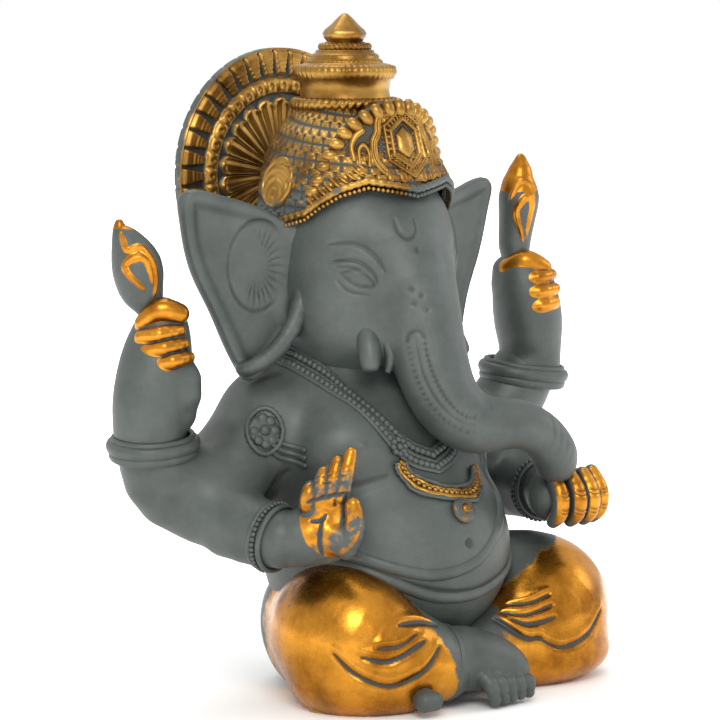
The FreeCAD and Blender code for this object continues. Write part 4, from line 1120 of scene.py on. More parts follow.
def make_collar():
    """Gold collar: a crowned strip with a twisted inner edge, rows of beads and a round pendant."""
    middle = [tuple((np.array(a) + np.array(b)) / 2) for a,
              b in zip(COLLAR_INNER, COLLAR_OUTER[:3] + COLLAR_OUTER[4:])]
    way = slope(body_field, np.array([PENDANT], np.float32))[1]
    x, y, _ = frames_from(way)
    angle = np.linspace(0, 2 * math.pi, 14, endpoint=False)[:, None]
    hub = settle(body_field, [PENDANT]) + way * 0.9
    rim = hub + (np.cos(angle) * x + np.sin(angle) * y) * 3.5
    outer = COLLAR_OUTER[:3] + COLLAR_OUTER[4:]
    parts = [(strip_on(body_field, COLLAR_INNER, outer, 0.9), 0.15)]
    for share, radius, shade in ((0.0, 0.8, 0.1), (0.3, 0.95, 0.8), (0.75, 0.9, 0.7), (0.98, 0.7, 0.15)):
        row = [tuple(np.array(a) * (1 - share) + np.array(b) * share) for a, b in zip(COLLAR_INNER, outer)]
        parts.append((cord_on(body_field, row, radius, 1.0, twisted(1.7, 0.22)), shade))
    parts += [(bead_row(body_field, middle, 0.95, 1.9, 1.1), 0.75),
              (beads(hub, 4.4, 13, 28, 0.4, way), 0.35), (beads(hub + way * 1.4, 1.9, 9, 14, 0.7, way), 0.8),
              (beads(rim, 0.85), 0.75)]
    gilt = np.concatenate([np.full(len(part[0]), shade) for part, shade in parts])
    return (*joined([part for part, _ in parts]), gilt)


def make_wrist_ring(node, field, middle, normal, reach, thick, rows):
    """Ring round a wrist: a smooth flattened roll, with a row of beads or a second roll beside it."""
    ring = girdle(field, middle, normal, reach)
    hub = ring.mean(0)
    away = (ring - hub) / np.linalg.norm(ring - hub, axis=1, keepdims=True)
    along = np.array(normal, float) / np.linalg.norm(normal)
    parts = [tube(ring + away * lift + along * shift, radius, 14, closed=True, flatten=0.75, outward=away)
             for lift, shift, radius in rows]
    if thick:
        places = spaced(ring + away * thick[1] + along * thick[2], thick[0] * 2.1, True)
        parts.append(beads(places, thick[0]))
    return tidy(put(node, *joined(parts), 0.0, 0.05))


def make_armlet(side):
    """Upper-arm ornament: an oval flower inside a twisted rim, with three ribs running on round the arm."""
    place = np.array([(-46.5 * -side, -15.4, 88.5)], np.float32)
    place = settle(body_field, place)
    way = slope(body_field, place)[1]
    x, y, _ = frames_from(way)
    angle = np.linspace(0, 2 * math.pi, 48, endpoint=False)[:, None]
    oval = np.cos(angle) * x * 6.0 + np.sin(angle) * y * 7.8
    rim = settle(body_field, place + oval)
    petals = settle(body_field, place + (oval * 0.56)[::6])
    ribs = [cord_on(body_field, [(side * 45, -16, 84.5 + up), (side * 41.5, -20.5, 81.5 + up),
                                 (side * 37, -25, 79.5 + up)], 0.9, 0.3)
            for up in (-2.6, 0, 2.6)]
    ways = np.repeat(way, 8, 0)
    parts = [tube(rim + way * 0.5, 0.85, 12, closed=True, outward=way, ripple=twisted(1.9, 0.2)),
             beads(petals + way * 0.3, 1.8, 9, 14, 0.55, ways),
             beads(place + way * 0.5, 2.0, 9, 16, 0.8, way), beads(place, 5.4, 11, 24, 0.16, way)]
    return tidy(put(f"{'left' if side > 0 else 'right'}_armlet_flower", *joined(parts + ribs), 0.06, 0.25))


def make_tusk(side):
    """Short tusk: a tapering profile carried along its curved axis, out of a collar of folded skin."""
    line = [(side * 15.5, -29, 121.5), (side * 17.2, -32.4, 117), (side * 18.4, -34.6, 112.4),
            (side * 19, -35.6, 107.4)]
    path = flow(line, 8)
    radius = np.interp(np.linspace(0, 1, len(path)), [0, 0.5, 0.85, 0.96, 1], [3.9, 3.8, 3.3, 2.7, 1.6])
    fold = [(side * 17, -26, 117), (side * 15.6, -29.5, 120.6), (side * 13.2, -34, 120.2),
            (side * 12.2, -36.6, 116), (side * 12, -37.4, 111.4), (side * 12.4, -36.4, 106.8)]
    fold = flow(fold, 8)
    collar = tube(fold, np.interp(np.linspace(0, 1, len(fold)), [0, 0.3, 0.6, 1], [1.4, 2.6, 2.5, 1.0]), 24,
                  outward=(0, -1, 0))
    return tidy(put(f"{'left' if side > 0 else 'right'}_tusk_horn",
                    *joined([tube(path, radius, 28, outward=(0, 0, 1)), collar]), 0.0, 0.0))


def make_boss_mesh(node, side):
    """Oval boss on the crown's side: a domed disc with nested arcs, inside a raised rim."""
    middle = centre(node)
    radius, shift = bowl_at(middle[2])
    middle = np.array([side * (radius - 0.4) * 0.985, shift + 1.5, middle[2]])
    way = np.array([[side, -0.12, 0.34]])
    x, y, z = frames_from(way)
    turn, share = np.meshgrid(np.linspace(0, 2 * math.pi, 96, endpoint=False), np.linspace(0, 1, 28),
                              indexing="ij")
    across, up = share * np.cos(turn), share * np.sin(turn)
    arcs = 0.22 * np.cos(np.hypot(across, up + 0.55) * 18) * (share < 0.82) * (share > 0.05)
    dome = 1.7 * np.sqrt(np.clip(1.02 - share ** 2, 0, 1))
    lift = dome + arcs + 0.7 * np.exp(-((share - 0.92) / 0.07) ** 2)
    flat = middle + across[..., None] * 6.8 * x + up[..., None] * 8.6 * y
    grid, back = flat + lift[..., None] * z, flat - 2.5 * z
    points, quads = surface(np.concatenate([grid, back[:, ::-1]], 1), wrap_u=True)
    gilt = smooth_step(157, 168, points[:, 2]) * 0.6 + 0.3
    return tidy(put(f"{'left' if side > 0 else 'right'}_crown_boss", points, quads, gilt, 0.1))


# ------------------------------------------------------------------ materials


def linear(code):
    """Linear colour from an sRGB hex value."""
    parts = [int(code[i:i + 2], 16) / 255 for i in (1, 3, 5)]
    return tuple(c / 12.92 if c <= 0.04045 else ((c + 0.055) / 1.055) ** 2.4 for c in parts)


def add(tree, kind, inputs=None, stops=None, **settings):
    """Adds a shader node with its settings, feeds its inputs with values or other nodes' outputs, and sets a
    ramp's stops."""
    made = tree.nodes.new("ShaderNode" + kind)
    for name, value in settings.items():
        setattr(made, name, value)
    for name, value in (inputs or {}).items():
        if isinstance(value, bpy.types.NodeSocket):
            tree.links.new(value, made.inputs[name])
        else:
            made.inputs[name].default_value = value
    for number, (place, colour) in enumerate(stops or []):
        stop = made.color_ramp.elements[number] if number < 2 else made.color_ramp.elements.new(place)
        stop.position, stop.color = place, (*colour, 1)
    return made


def start_material(name):
    material = bpy.data.materials.new(name)
    material.use_nodes = True
    tree = material.node_tree
    return material, tree, tree.nodes["Principled BSDF"]


def colours():
    return bpy.context.scene.figure_colours


def sizes():
    return bpy.context.scene.figure_sizes


def per_metre(millimetres):
    """Noise scale whose lumps are about this many millimetres across, in Object coordinates."""
    return 1000.0 / millimetres


def cast_brass(name, gold_dark, gold_light, worn=0.0, gold_rough=0.24):
    """Sand-cast brass with a baked-on grey-green patina, rubbed back to the metal on the high places. To the
    eye the patina is matt and slightly mottled, grooves hold dark colour, creases are darkened with painted
    shade, and the gold has a soft uneven shine."""
    material, tree, shader = start_material(name)
    place = add(tree, "TexCoord").outputs["Object"]
    gilt = add(tree, "Attribute", attribute_name="gilt").outputs["Fac"]
    recess = add(tree, "Attribute", attribute_name="recess").outputs["Fac"]
    cloud = add(tree, "TexNoise", {"Vector": place, "Scale": per_metre(16), "Detail": 5.0,
                                   "Roughness": 0.6}).outputs["Fac"]
    fine = add(tree, "TexNoise", {"Vector": place, "Scale": per_metre(1.6), "Detail": 4.0,
                                  "Roughness": 0.65}).outputs["Fac"]
    flecks = add(tree, "TexNoise", {"Vector": place, "Scale": per_metre(4.5), "Detail": 6.0,
                                    "Roughness": 0.72}).outputs["Fac"]
    c = colours()
    patina = add(tree, "ValToRGB", {"Fac": cloud}, [(0.33, c.patina_dark), (0.66, c.patina_light)])
    speck = add(tree, "ValToRGB", {"Fac": fine}, [(0.36, (0.93, 0.93, 0.93)), (0.62, (1.03, 1.03, 1.03))])
    patina = add(tree, "Mix", {"Factor": 1.0, 6: patina.outputs["Color"], 7: speck.outputs["Color"]},
                 data_type="RGBA", blend_type="MULTIPLY")
    rust = add(tree, "ValToRGB", {"Fac": flecks}, [(0.715, (0, 0, 0)), (0.77, (1, 1, 1))])
    patina = add(tree, "Mix", {"Factor": rust.outputs["Color"], 6: patina.outputs[2],
                               7: (*linear("#7b6040"), 1)}, data_type="RGBA")
    gold = add(tree, "ValToRGB", {"Fac": cloud}, [(0.34, gold_dark), (0.6, gold_light)])
    gold = add(tree, "Mix", {"Factor": 0.4, 6: gold.outputs["Color"], 7: speck.outputs["Color"]},
               data_type="RGBA", blend_type="MULTIPLY")
    uneven = add(tree, "MapRange", {"Value": flecks, "From Min": 0.3, "From Max": 0.7,
                                    "To Min": -0.22 - worn, "To Max": 0.22 - worn}).outputs["Result"]
    bare = add(tree, "Math", {0: gilt, 1: uneven}, operation="ADD").outputs[0]
    bare = add(tree, "Math", {0: recess, 1: -0.75, 2: bare}, operation="MULTIPLY_ADD").outputs[0]
    mask = add(tree, "ValToRGB", {"Fac": bare}, [(0.28, (0, 0, 0)), (0.46, (1, 1, 1))]).outputs["Color"]
    colour = add(tree, "Mix", {"Factor": mask, 6: patina.outputs[2], 7: gold.outputs[2]}, data_type="RGBA")
    # Darker towards the recess colour: patina held in grooves, and painted shade in creases.
    dark = add(tree, "ValToRGB", {"Fac": recess},
               [(0.15, (0, 0, 0)), (0.85, (0.86, 0.86, 0.86))]).outputs["Color"]
    colour = add(tree, "Mix", {"Factor": dark, 6: colour.outputs[2], 7: (*c.recess, 1)}, data_type="RGBA")
    tree.links.new(colour.outputs[2], shader.inputs["Base Color"])
    metal = add(tree, "MapRange", {"Value": mask, "To Min": 0.12, "To Max": 0.94}).outputs["Result"]
    tree.links.new(metal, shader.inputs["Metallic"])
    rough = add(tree, "MapRange", {"Value": mask, "To Min": 0.4, "To Max": gold_rough}).outputs["Result"]
    rough = add(tree, "Math", {0: fine, 1: 0.16, 2: rough}, operation="MULTIPLY_ADD").outputs[0]
    tree.links.new(rough, shader.inputs["Roughness"])
    lumps = add(tree, "Bump", {"Height": flecks, "Strength": 0.25, "Distance": 0.0003})
    pits = add(tree, "Bump", {"Height": fine, "Strength": 0.3, "Distance": 0.00016,
                              "Normal": lumps.outputs["Normal"]})
    tree.links.new(pits.outputs["Normal"], shader.inputs["Normal"])
    return material


def turned_metal(name, base, roughness, pitch):
    """Bare machined metal: bright, with fine lathe lines drawn coarser than life so that they show."""
    material, tree, shader = start_material(name)
    place = add(tree, "TexCoord").outputs["Object"]
    rings = add(tree, "TexWave", {"Vector": place, "Scale": per_metre(pitch) / 6.28, "Distortion": 0.4,
                                  "Detail": 2.0},
                wave_type="RINGS", rings_direction="Z")
    stain = add(tree, "TexNoise", {"Vector": place, "Scale": per_metre(9), "Detail": 4.0})
    dull = tuple(v * 0.62 for v in base)
    colour = add(tree, "ValToRGB", {"Fac": stain.outputs["Fac"]}, [(0.3, dull), (0.6, base)])
    tree.links.new(colour.outputs["Color"], shader.inputs["Base Color"])
    shader.inputs["Metallic"].default_value = 1.0
    rough = add(tree, "MapRange", {"Value": stain.outputs["Fac"], "To Min": roughness - 0.08,
                                   "To Max": roughness + 0.12})
    tree.links.new(rough.outputs["Result"], shader.inputs["Roughness"])
    bump = add(tree, "Bump", {"Height": rings.outputs["Fac"], "Strength": 0.2, "Distance": 0.0001})
    tree.links.new(bump.outputs["Normal"], shader.inputs["Normal"])
    return material


def wool_felt(name):
    """Pressed wool felt: matt, with a matted fibre surface and a faint sheen at grazing angles."""
    material, tree, shader = start_material(name)
    place = add(tree, "TexCoord").outputs["Object"]
    fibre = add(tree, "TexNoise", {"Vector": place, "Scale": per_metre(0.8), "Detail": 8.0, "Roughness": 0.8,
                                   "Distortion": 1.2})
    base = colours().felt
    colour = add(tree, "ValToRGB", {"Fac": fibre.outputs["Fac"]},
                 [(0.35, tuple(v * 0.5 for v in base)), (0.65, tuple(base))])
    tree.links.new(colour.outputs["Color"], shader.inputs["Base Color"])
    shader.inputs["Roughness"].default_value = 0.95
    shader.inputs["Sheen Weight"].default_value = 0.4
    bump = add(tree, "Bump", {"Height": fibre.outputs["Fac"], "Strength": 0.8, "Distance": 0.0004})
    tree.links.new(bump.outputs["Normal"], shader.inputs["Normal"])
    return material


def painted_floor(name):
    """Matt pale paper sweep, very faintly mottled, which glows white away from the figure as painted light.
    """
    material, tree, shader = start_material(name)
    place = add(tree, "TexCoord").outputs["Object"]
    cloud = add(tree, "TexNoise", {"Vector": place, "Scale": 3.0, "Detail": 2.0})
    base = colours().floor
    colour = add(tree, "ValToRGB", {"Fac": cloud.outputs["Fac"]},
                 [(0.3, tuple(v * 0.985 for v in base)), (0.7, tuple(base))])
    tree.links.new(colour.outputs["Color"], shader.inputs["Base Color"])
    shader.inputs["Roughness"].default_value = 0.9
    # Painted light: away from the figure the sweep glows, an emission that brings it up to the same white as
    # the room.
    away = add(tree, "VectorMath", {"Vector": place}, operation="LENGTH").outputs["Value"]
    painted_glow = add(tree, "MapRange", {"Value": away, "From Min": 0.12, "From Max": 0.34}).outputs["Result"]
    shader.inputs["Emission Color"].default_value = (1, 1, 1, 1)
    tree.links.new(painted_glow, shader.inputs["Emission Strength"])
    return material


def patina():
    """Figure castings: patina all over, with gold only where gilt is marked."""
    found = bpy.data.materials.get("patinated_cast_brass")
    return found or cast_brass("patinated_cast_brass", colours().gold_dark, colours().gold_light)


def crown_gold():
    """Crown, halo and collar: older, browner gilding over patina."""
    found = bpy.data.materials.get("rubbed_brown_gilt_brass")
    return found or cast_brass("rubbed_brown_gilt_brass", colours().old_gold_dark, colours().old_gold_light,
                               0.0, 0.28)


def cloth_gold():
    """The cloth over the legs: the brightest gilding, rubbed smooth."""
    found = bpy.data.materials.get("bright_rubbed_gilt_brass")
    return found or cast_brass("bright_rubbed_gilt_brass", colours().gold_dark, colours().gold_light, 0.0,
                               0.2)


# ------------------------------------------------------------------ sizes and colours that a user may change


class FigureSizes(bpy.types.PropertyGroup):
    """Lengths and mesh steps used by the figure's operators."""
    body_step: FloatProperty(name="Body step", default=0.78, min=0.4, max=3,
                             description="Spacing of the torso's surface points, in figure millimetres")
    limb_step: FloatProperty(name="Limb step", default=0.58, min=0.3, max=3,
                             description="Spacing on the head, legs and ears, in figure millimetres")
    hand_step: FloatProperty(name="Hand step", description="Spacing on hands, the foot and what is held",
                             default=0.42, min=0.2, max=2)
    camera_distance: FloatProperty(name="Camera distance",
                                   description="From the camera to the middle of the figure",
                                   default=1.1, unit="LENGTH")
    floor_radius: FloatProperty(name="Floor radius", description="Radius of the pale floor", default=4.0,
                                unit="LENGTH")


def colour_property(name, description, code):
    return FloatVectorProperty(name=name, description=description, default=linear(code), subtype="COLOR",
                               size=3, min=0, max=1)


class FigureColours(bpy.types.PropertyGroup):
    """Colours of the figure's finishes."""
    patina_dark: colour_property("Patina, dark", "Darker blotches of the grey-green patina", "#393f3c")
    patina_light: colour_property("Patina, light", "Lighter blotches of the grey-green patina", "#494f4c")
    # Colour of the patina held in grooves, and of the painted shade in creases.
    recess: colour_property("Recess", "Dark colour left in grooves", "#2a2c28")
    gold_dark: colour_property("Gold, dark", "Darker parts of the bright gilding", "#8c5513")
    gold_light: colour_property("Gold, light", "Lighter parts of the bright gilding", "#c5852a")
    old_gold_dark: colour_property("Old gold, dark", "Darker parts of the crown's gilding", "#6b481b")
    old_gold_light: colour_property("Old gold, light", "Lighter parts of the crown's gilding", "#a98240")
    felt: colour_property("Felt", "Felt under the base plate", "#3b4640")
    floor: colour_property("Floor", "Pale floor", "#fbfbfa")


# ------------------------------------------------------------------ operators


def part_of(piece, name, keep):
    """Copy of a piece cut by planes given as (place, outward), dropping the outward sides."""
    copy = bpy.data.objects.new(name, piece.data.copy())
    copy.data.name = name
    bpy.context.scene.collection.objects.link(copy)
    for place, outward in keep:
        slice_off(copy, place, outward)
    return copy


def shoulder_plane(side):
    return (46.0 * side, 0, 84), (side, 0, 0.25)


class FIGURE_OT_body(bpy.types.Operator):
    """Torso, and the two pairs of arms cut from the same surface so that their joints are tight"""
    bl_idname = "figure.body"
    bl_label = "Torso and arms"

    def execute(self, context):
        whole = sculpt("body_skin", body_field, (-98, -64, 3), (100, 42, 126), sizes().body_step,
                       torso_relief)
        floor_cut = ((0, 0, 7), (0, 0, -1))
        torso = part_of(whole, "torso_shell", [floor_cut, shoulder_plane(-1), shoulder_plane(1)])
        finish(torso, patina(), "patinated_brass", "torso_casting")
        for side, label in ((-1, "right"), (1, "left")):
            place, outward = shoulder_plane(side)
            arms = part_of(whole, f"{label}_arm_pair", [(place, tuple(-v for v in outward))])
            finish(arms, patina(), "patinated_brass", f"{label}_rear_arm", f"{label}_front_arm")
        bpy.data.objects.remove(whole)
        return {"FINISHED"}


class FIGURE_OT_head(bpy.types.Operator):
    """Head with its trunk, the ears and the tusks"""
    bl_idname = "figure.head"
    bl_label = "Head, ears and tusks"

    def execute(self, context):
        step = sizes().limb_step
        head = sculpt("head_and_trunk", head_field, (-36, -78, 62), (54, 30, 172), step, head_relief)
        slice_off(head, (0, 0, 165), (0, 0, 1))
        finish(head, patina(), "patinated_brass", "head_casting")
        for side, label in ((-1, "right"), (1, "left")):
            field = ear_field(side)
            low, high = sorted((side * 15, side * 72))
            ear = sculpt(f"{label}_ear_leaf", field, (low, -26, 100), (high, 14, 172), step * 0.85,
                         ear_relief(side))
            finish(ear, patina(), "patinated_brass", f"{label}_ear")
            finish(make_tusk(side), patina(), "patinated_brass", f"{label}_tusk")
        return {"FINISHED"}


class FIGURE_OT_crown(bpy.types.Operator):
    """Crown: chased bowl, twisted rim, diadem, side bosses and finial"""
    bl_idname = "figure.crown"
    bl_label = "Crown"

    def execute(self, context):
        grid, recess, gilt = make_bowl_mesh()
        inner = grid * np.array([0.93, 0.93, 1.0]) - np.array([0, 0, 0.8])
        points, quads = surface(np.concatenate([grid, inner[:, ::-1]], 1), wrap_u=True, wrap_v=True)
        shade = np.concatenate([gilt, np.zeros_like(gilt)], 1).ravel()
        deep = np.concatenate([recess, np.full_like(recess, 0.3)], 1).ravel()
        finish(tidy(put("crown_bowl_shell", points, quads, shade, deep)), crown_gold(), "gilded_brass",
               "crown_bowl")
        self.rim()
        front, back, recess = make_diadem_mesh()
        points, quads = shell(front, back)
        deep = np.concatenate([recess.ravel(), np.full(recess.size, 0.4)])
        drops = self.arch_beads()
        points, quads = joined([(points, quads), drops])
        deep = np.concatenate([deep, np.zeros(len(drops[0]))])
        gilt = smooth_step(154, 163, points[:, 2]) * 0.35 + 0.6
        finish(tidy(put("crown_diadem", points, quads, gilt, deep)), crown_gold(), "gilded_brass",
               "crown_plaque")
        for side, label in ((-1, "right"), (1, "left")):
            finish(make_boss_mesh(f"{label}_rosette", side), crown_gold(), "gilded_brass",
                   f"{label}_rosette")
        parts = make_finial_parts()
        points, quads = joined(parts)
        finish(tidy(put("crown_finial_stack", points, quads, 0.85, hollow_by_ripple(parts))), crown_gold(),
               "gilded_brass", "crown_finial")
        return {"FINISHED"}

    def rim(self):
        """Twisted band along the crown's lower edge, with a thin beaded line under it."""
        angle = np.linspace(-math.pi, math.pi, 361)[:-1]
        height = rim_height(angle)
        radius, shift = bowl_at(height)
        path = round_crown(angle, height + 0.4, radius + 0.4, shift)
        out = path - np.array([0, -6.5, 0])
        out[:, 2] = 0
        band = tube(path, 1.15, 14, closed=True, outward=out, flatten=0.75,
                    ripple=lambda length, around: 0.2 * np.sin(2 * math.pi * length / 2.6 + 1.4 * around))
        low = round_crown(angle, height - 1.8, radius + 0.2, shift)
        rows = [band, beads(spaced(low, 1.6, True), 0.75, 7, 8)]
        points, quads = joined(rows)
        front = smooth_step(4, -8, points[:, 0]) * 0.3 + 0.28
        finish(tidy(put("crown_rim_rope", points, quads, front, 0.12)), crown_gold(), "gilded_brass",
               "crown_rim_band")

    def arch_beads(self):
        """Row of large drop-shaped beads along the diadem's arch."""
        angle = np.linspace(-1.2, 1.2, 400)
        height = np.maximum(diadem_top(angle), rim_height(angle) + 6)
        rows = flow(DIADEM_LEAN, 5)
        path = round_crown(angle, height - 0.6, np.interp(height, rows[:, 0], rows[:, 1]) + 0.5,
                           bowl_at(height)[1])
        places = spaced(path, 4.7)
        inward = np.array([0, -30, 174]) - places
        return beads(places + 0.08 * inward, 2.2, 9, 14, 1.45, inward)


def hollow_by_ripple(parts):
    """Grooves of the finial's ropes: darker where a point lies under its neighbours' mean radius."""
    shades = []
    for points, _ in parts:
        radius = np.hypot(points[:, 0], points[:, 1])
        order = np.round(points[:, 2] * 3).astype(int)
        order -= order.min()
        total = np.bincount(order, radius)
        count = np.maximum(np.bincount(order), 1)
        shades.append(np.clip((total / count)[order] - radius, 0, 0.5))
    return np.concatenate(shades)


class FIGURE_OT_halo(bpy.types.Operator):
    """Fan behind the head"""
    bl_idname = "figure.halo"
    bl_label = "Halo fan"

    def execute(self, context):
        front, back, recess, gilt = make_halo_mesh()
        points, quads = surface(np.concatenate([front, back[:, ::-1]], 1), wrap_u=True)
        deep = np.concatenate([recess, np.zeros_like(recess)], 1).ravel()
        shade = np.concatenate([gilt, np.zeros_like(gilt)], 1).ravel()
        finish(tidy(put("halo_fan_disc", points, quads, shade, deep)), crown_gold(), "gilded_brass",
               "halo_fan")
        return {"FINISHED"}


class FIGURE_OT_rear_hands(bpy.types.Operator):
    """Rear hands and the emblems they hold"""
    bl_idname = "figure.rear_hands"
    bl_label = "Rear hands"

    def execute(self, context):
        step = sizes().hand_step
        for side, label in ((-1, "right"), (1, "left")):
            line = RIGHT_FIST_LINE if side < 0 else LEFT_FIST_LINE
            x = line[0][0]

            def gilt(points, way):
                near = smooth_step(0.7, 0.1, fist_fingers(points, side))
                return near * smooth_step(-0.3, 0.4, way @ AHEAD)

            hand = sculpt(f"{label}_fist", fist_field(side), (x - 18, -20, line[0][2] - 14),
                          (x + 24, 18, 142), step, None, gilt)
            slice_off(hand, (x, 0, line[0][2]), (0, 0, -1))
            finish(hand, patina(), "patinated_brass", f"{label}_rear_hand")
            field, loops = held_field(side), held_lines(side)

            def relief(points):
                lifts = [stroke(points, field, loop, 0.75, -0.9) for loop in loops]
                return np.max(lifts, 0) + spot(points, loops[0][2], 1.0, 0.4)

            def shine(points, way):
                near = np.max([-stroke(points, field, loop, 1.3, 1.0) for loop in loops], 0)
                return np.clip(near * 1.2, 0, 1) + 0.55 * (points[:, 2] > line[-1][2] + 28)
            held = sculpt(f"{label}_held_emblem", field, (x - 30, -14, 122), (x + 26, 14, 178), step, relief,
                          shine)
            finish(held, patina(), "patinated_brass", f"{label}_implement")
        return {"FINISHED"}


class FIGURE_OT_front_hands(bpy.types.Operator):
    """Raised right palm and the left hand under the trunk"""
    bl_idname = "figure.front_hands"
    bl_label = "Front hands"

    def execute(self, context):
        step = sizes().hand_step
        def palm_lines(points):
            rows = [[(-2.7, 6, 64), (-3.6, 7, 57), (-2.4, 6, 52)],
                    [(-6.4, 6, 63.5), (-3.4, 7, 64), (-1, 7, 66)],
                    [(-7.5, 6, 69.5), (-3, 7, 70.5), (1.5, 7, 71.5), (5, 7, 72)]]
            lines = [beside(RIGHT_PALM, VIEW_TURN, row) for row in rows]
            height = sum(stroke(points, right_palm_field, line, 0.6, 0.6) for line in lines)
            for across in (-5.6, -1.2, 3.4):
                for up in (75.4, 77.6):
                    mark = beside(RIGHT_PALM, VIEW_TURN,
                                  [(across - 1.6, 6, up), (across + 1.6, 6, up + 0.6)])
                    height += stroke(points, right_palm_field, mark, 0.35, 0.3, 2)
            return height + 0.08 * grain(points, 1.1) * (points[:, 2] < 62)

        def palm_gilt(points, way):
            across = (points - np.array(RIGHT_PALM)) @ ACROSS
            oval = np.hypot(across / 10.2, np.minimum(points[:, 2] - 66, 0) / 14.2)
            worn = 0.55 + 0.3 * grain(points, 4.0)
            return smooth_step(0.15, 0.5, way @ AHEAD) * smooth_step(1.04, 0.94, oval) * worn

        palm = sculpt("right_open_hand", right_palm_field, (-66, -64, 44), (-28, -24, 92), step, palm_lines,
                      palm_gilt)
        slice_off(palm, (-54.5, -34, 56.5), (-0.3, 0.93, -0.1))
        finish(palm, patina(), "patinated_brass", "right_front_hand")

        def finger_marks(points):
            height = np.zeros(len(points), np.float32)
            for x in (40.3, 46.6, 52.7, 58.8):
                for up in (58.6, 60, 65, 66.4):
                    height += stroke(points, left_palm_field,
                                     [(x - 2.2, -65, up), (x, -66, up - 0.6),
                                      (x + 2.2, -65, up)], 0.4, 0.35, 2)
            return height

        def finger_gilt(points, way):
            near = smooth_step(1.0, 0.2, left_palm_fingers(points)) * smooth_step(0.25, 0.6, -way[:, 1])
            return near * smooth_step(54.5, 56, points[:, 2])
        hand = sculpt("left_giving_hand", left_palm_field, (32, -70, 48), (68, -28, 78), step, finger_marks,
                      finger_gilt)
        slice_off(hand, (55.5, -38, 62.5), (0.3, 0.95, 0))
        finish(hand, patina(), "patinated_brass", "left_front_hand")
        return {"FINISHED"}


class FIGURE_OT_rings(bpy.types.Operator):
    """Bangles, bracelets and armlets"""
    bl_idname = "figure.rings"
    bl_label = "Bangles and armlets"

    def execute(self, context):
        for side, label, x, z in ((-1, "right", -80.8, 84.6), (1, "left", 82.4, 97)):
            ring = make_wrist_ring(f"{label}_wrist_bangle", body_or_fist(side), (x, 0, z),
                                   (0.1 * side, -0.1, 1), 24, None,
                                   [(0.9, -1.9, 1.9), (1.5, 0.8, 2.1), (0.6, 3.0, 1.2)])
            finish(ring, patina(), "patinated_brass", f"{label}_rear_bangle")
            finish(make_armlet(side), patina(), "patinated_brass", f"{label}_armlet")
        for label, middle, normal in (("right", (-55.4, -31, 57), (0.24, -0.95, -0.17)),
                                      ("left", (56.5, -35, 62.3), (-0.25, -0.96, 0.04))):
            ring = make_wrist_ring(f"{label}_beaded_bracelet", body_field, middle, normal, 20, (0.8, 0.9, 0),
                                   [(0.4, -1.9, 1.0), (0.4, 1.9, 1.0)])
            finish(ring, patina(), "patinated_brass", f"{label}_front_bangle")
        return {"FINISHED"}


def body_or_fist(side):
    fist = fist_field(side)
    return lambda points: np.minimum(body_field(points), fist(points))


class FIGURE_OT_strands(bpy.types.Operator):
    """Bead strands on the chest, the gold collar, the belly cord and the waist band"""
    bl_idname = "figure.strands"
    bl_label = "Necklaces and cords"

    def execute(self, context):
        finish(tidy(put("chest_bead_strands", *make_bead_strand(), 0.0, 0.12)), patina(), "patinated_brass",
               "bead_necklace")
        finish(tidy(put("gold_collar", *make_collar(), 0.1)), crown_gold(), "gilded_brass",
               "pendant_necklace")
        cord = cord_on(body_field, BELLY_CORD, 2.2, -0.6)
        finish(tidy(put("belly_thread", *cord, 0.0, 0.05)), patina(), "patinated_brass", "belly_cord")
        band = cord_on(body_field, WAIST + WAIST[:1], 2.2, -0.9, closed=True)
        finish(tidy(put("waist_roll", *band, 0.0, 0.05)), patina(), "patinated_brass", "waist_band")
        return {"FINISHED"}


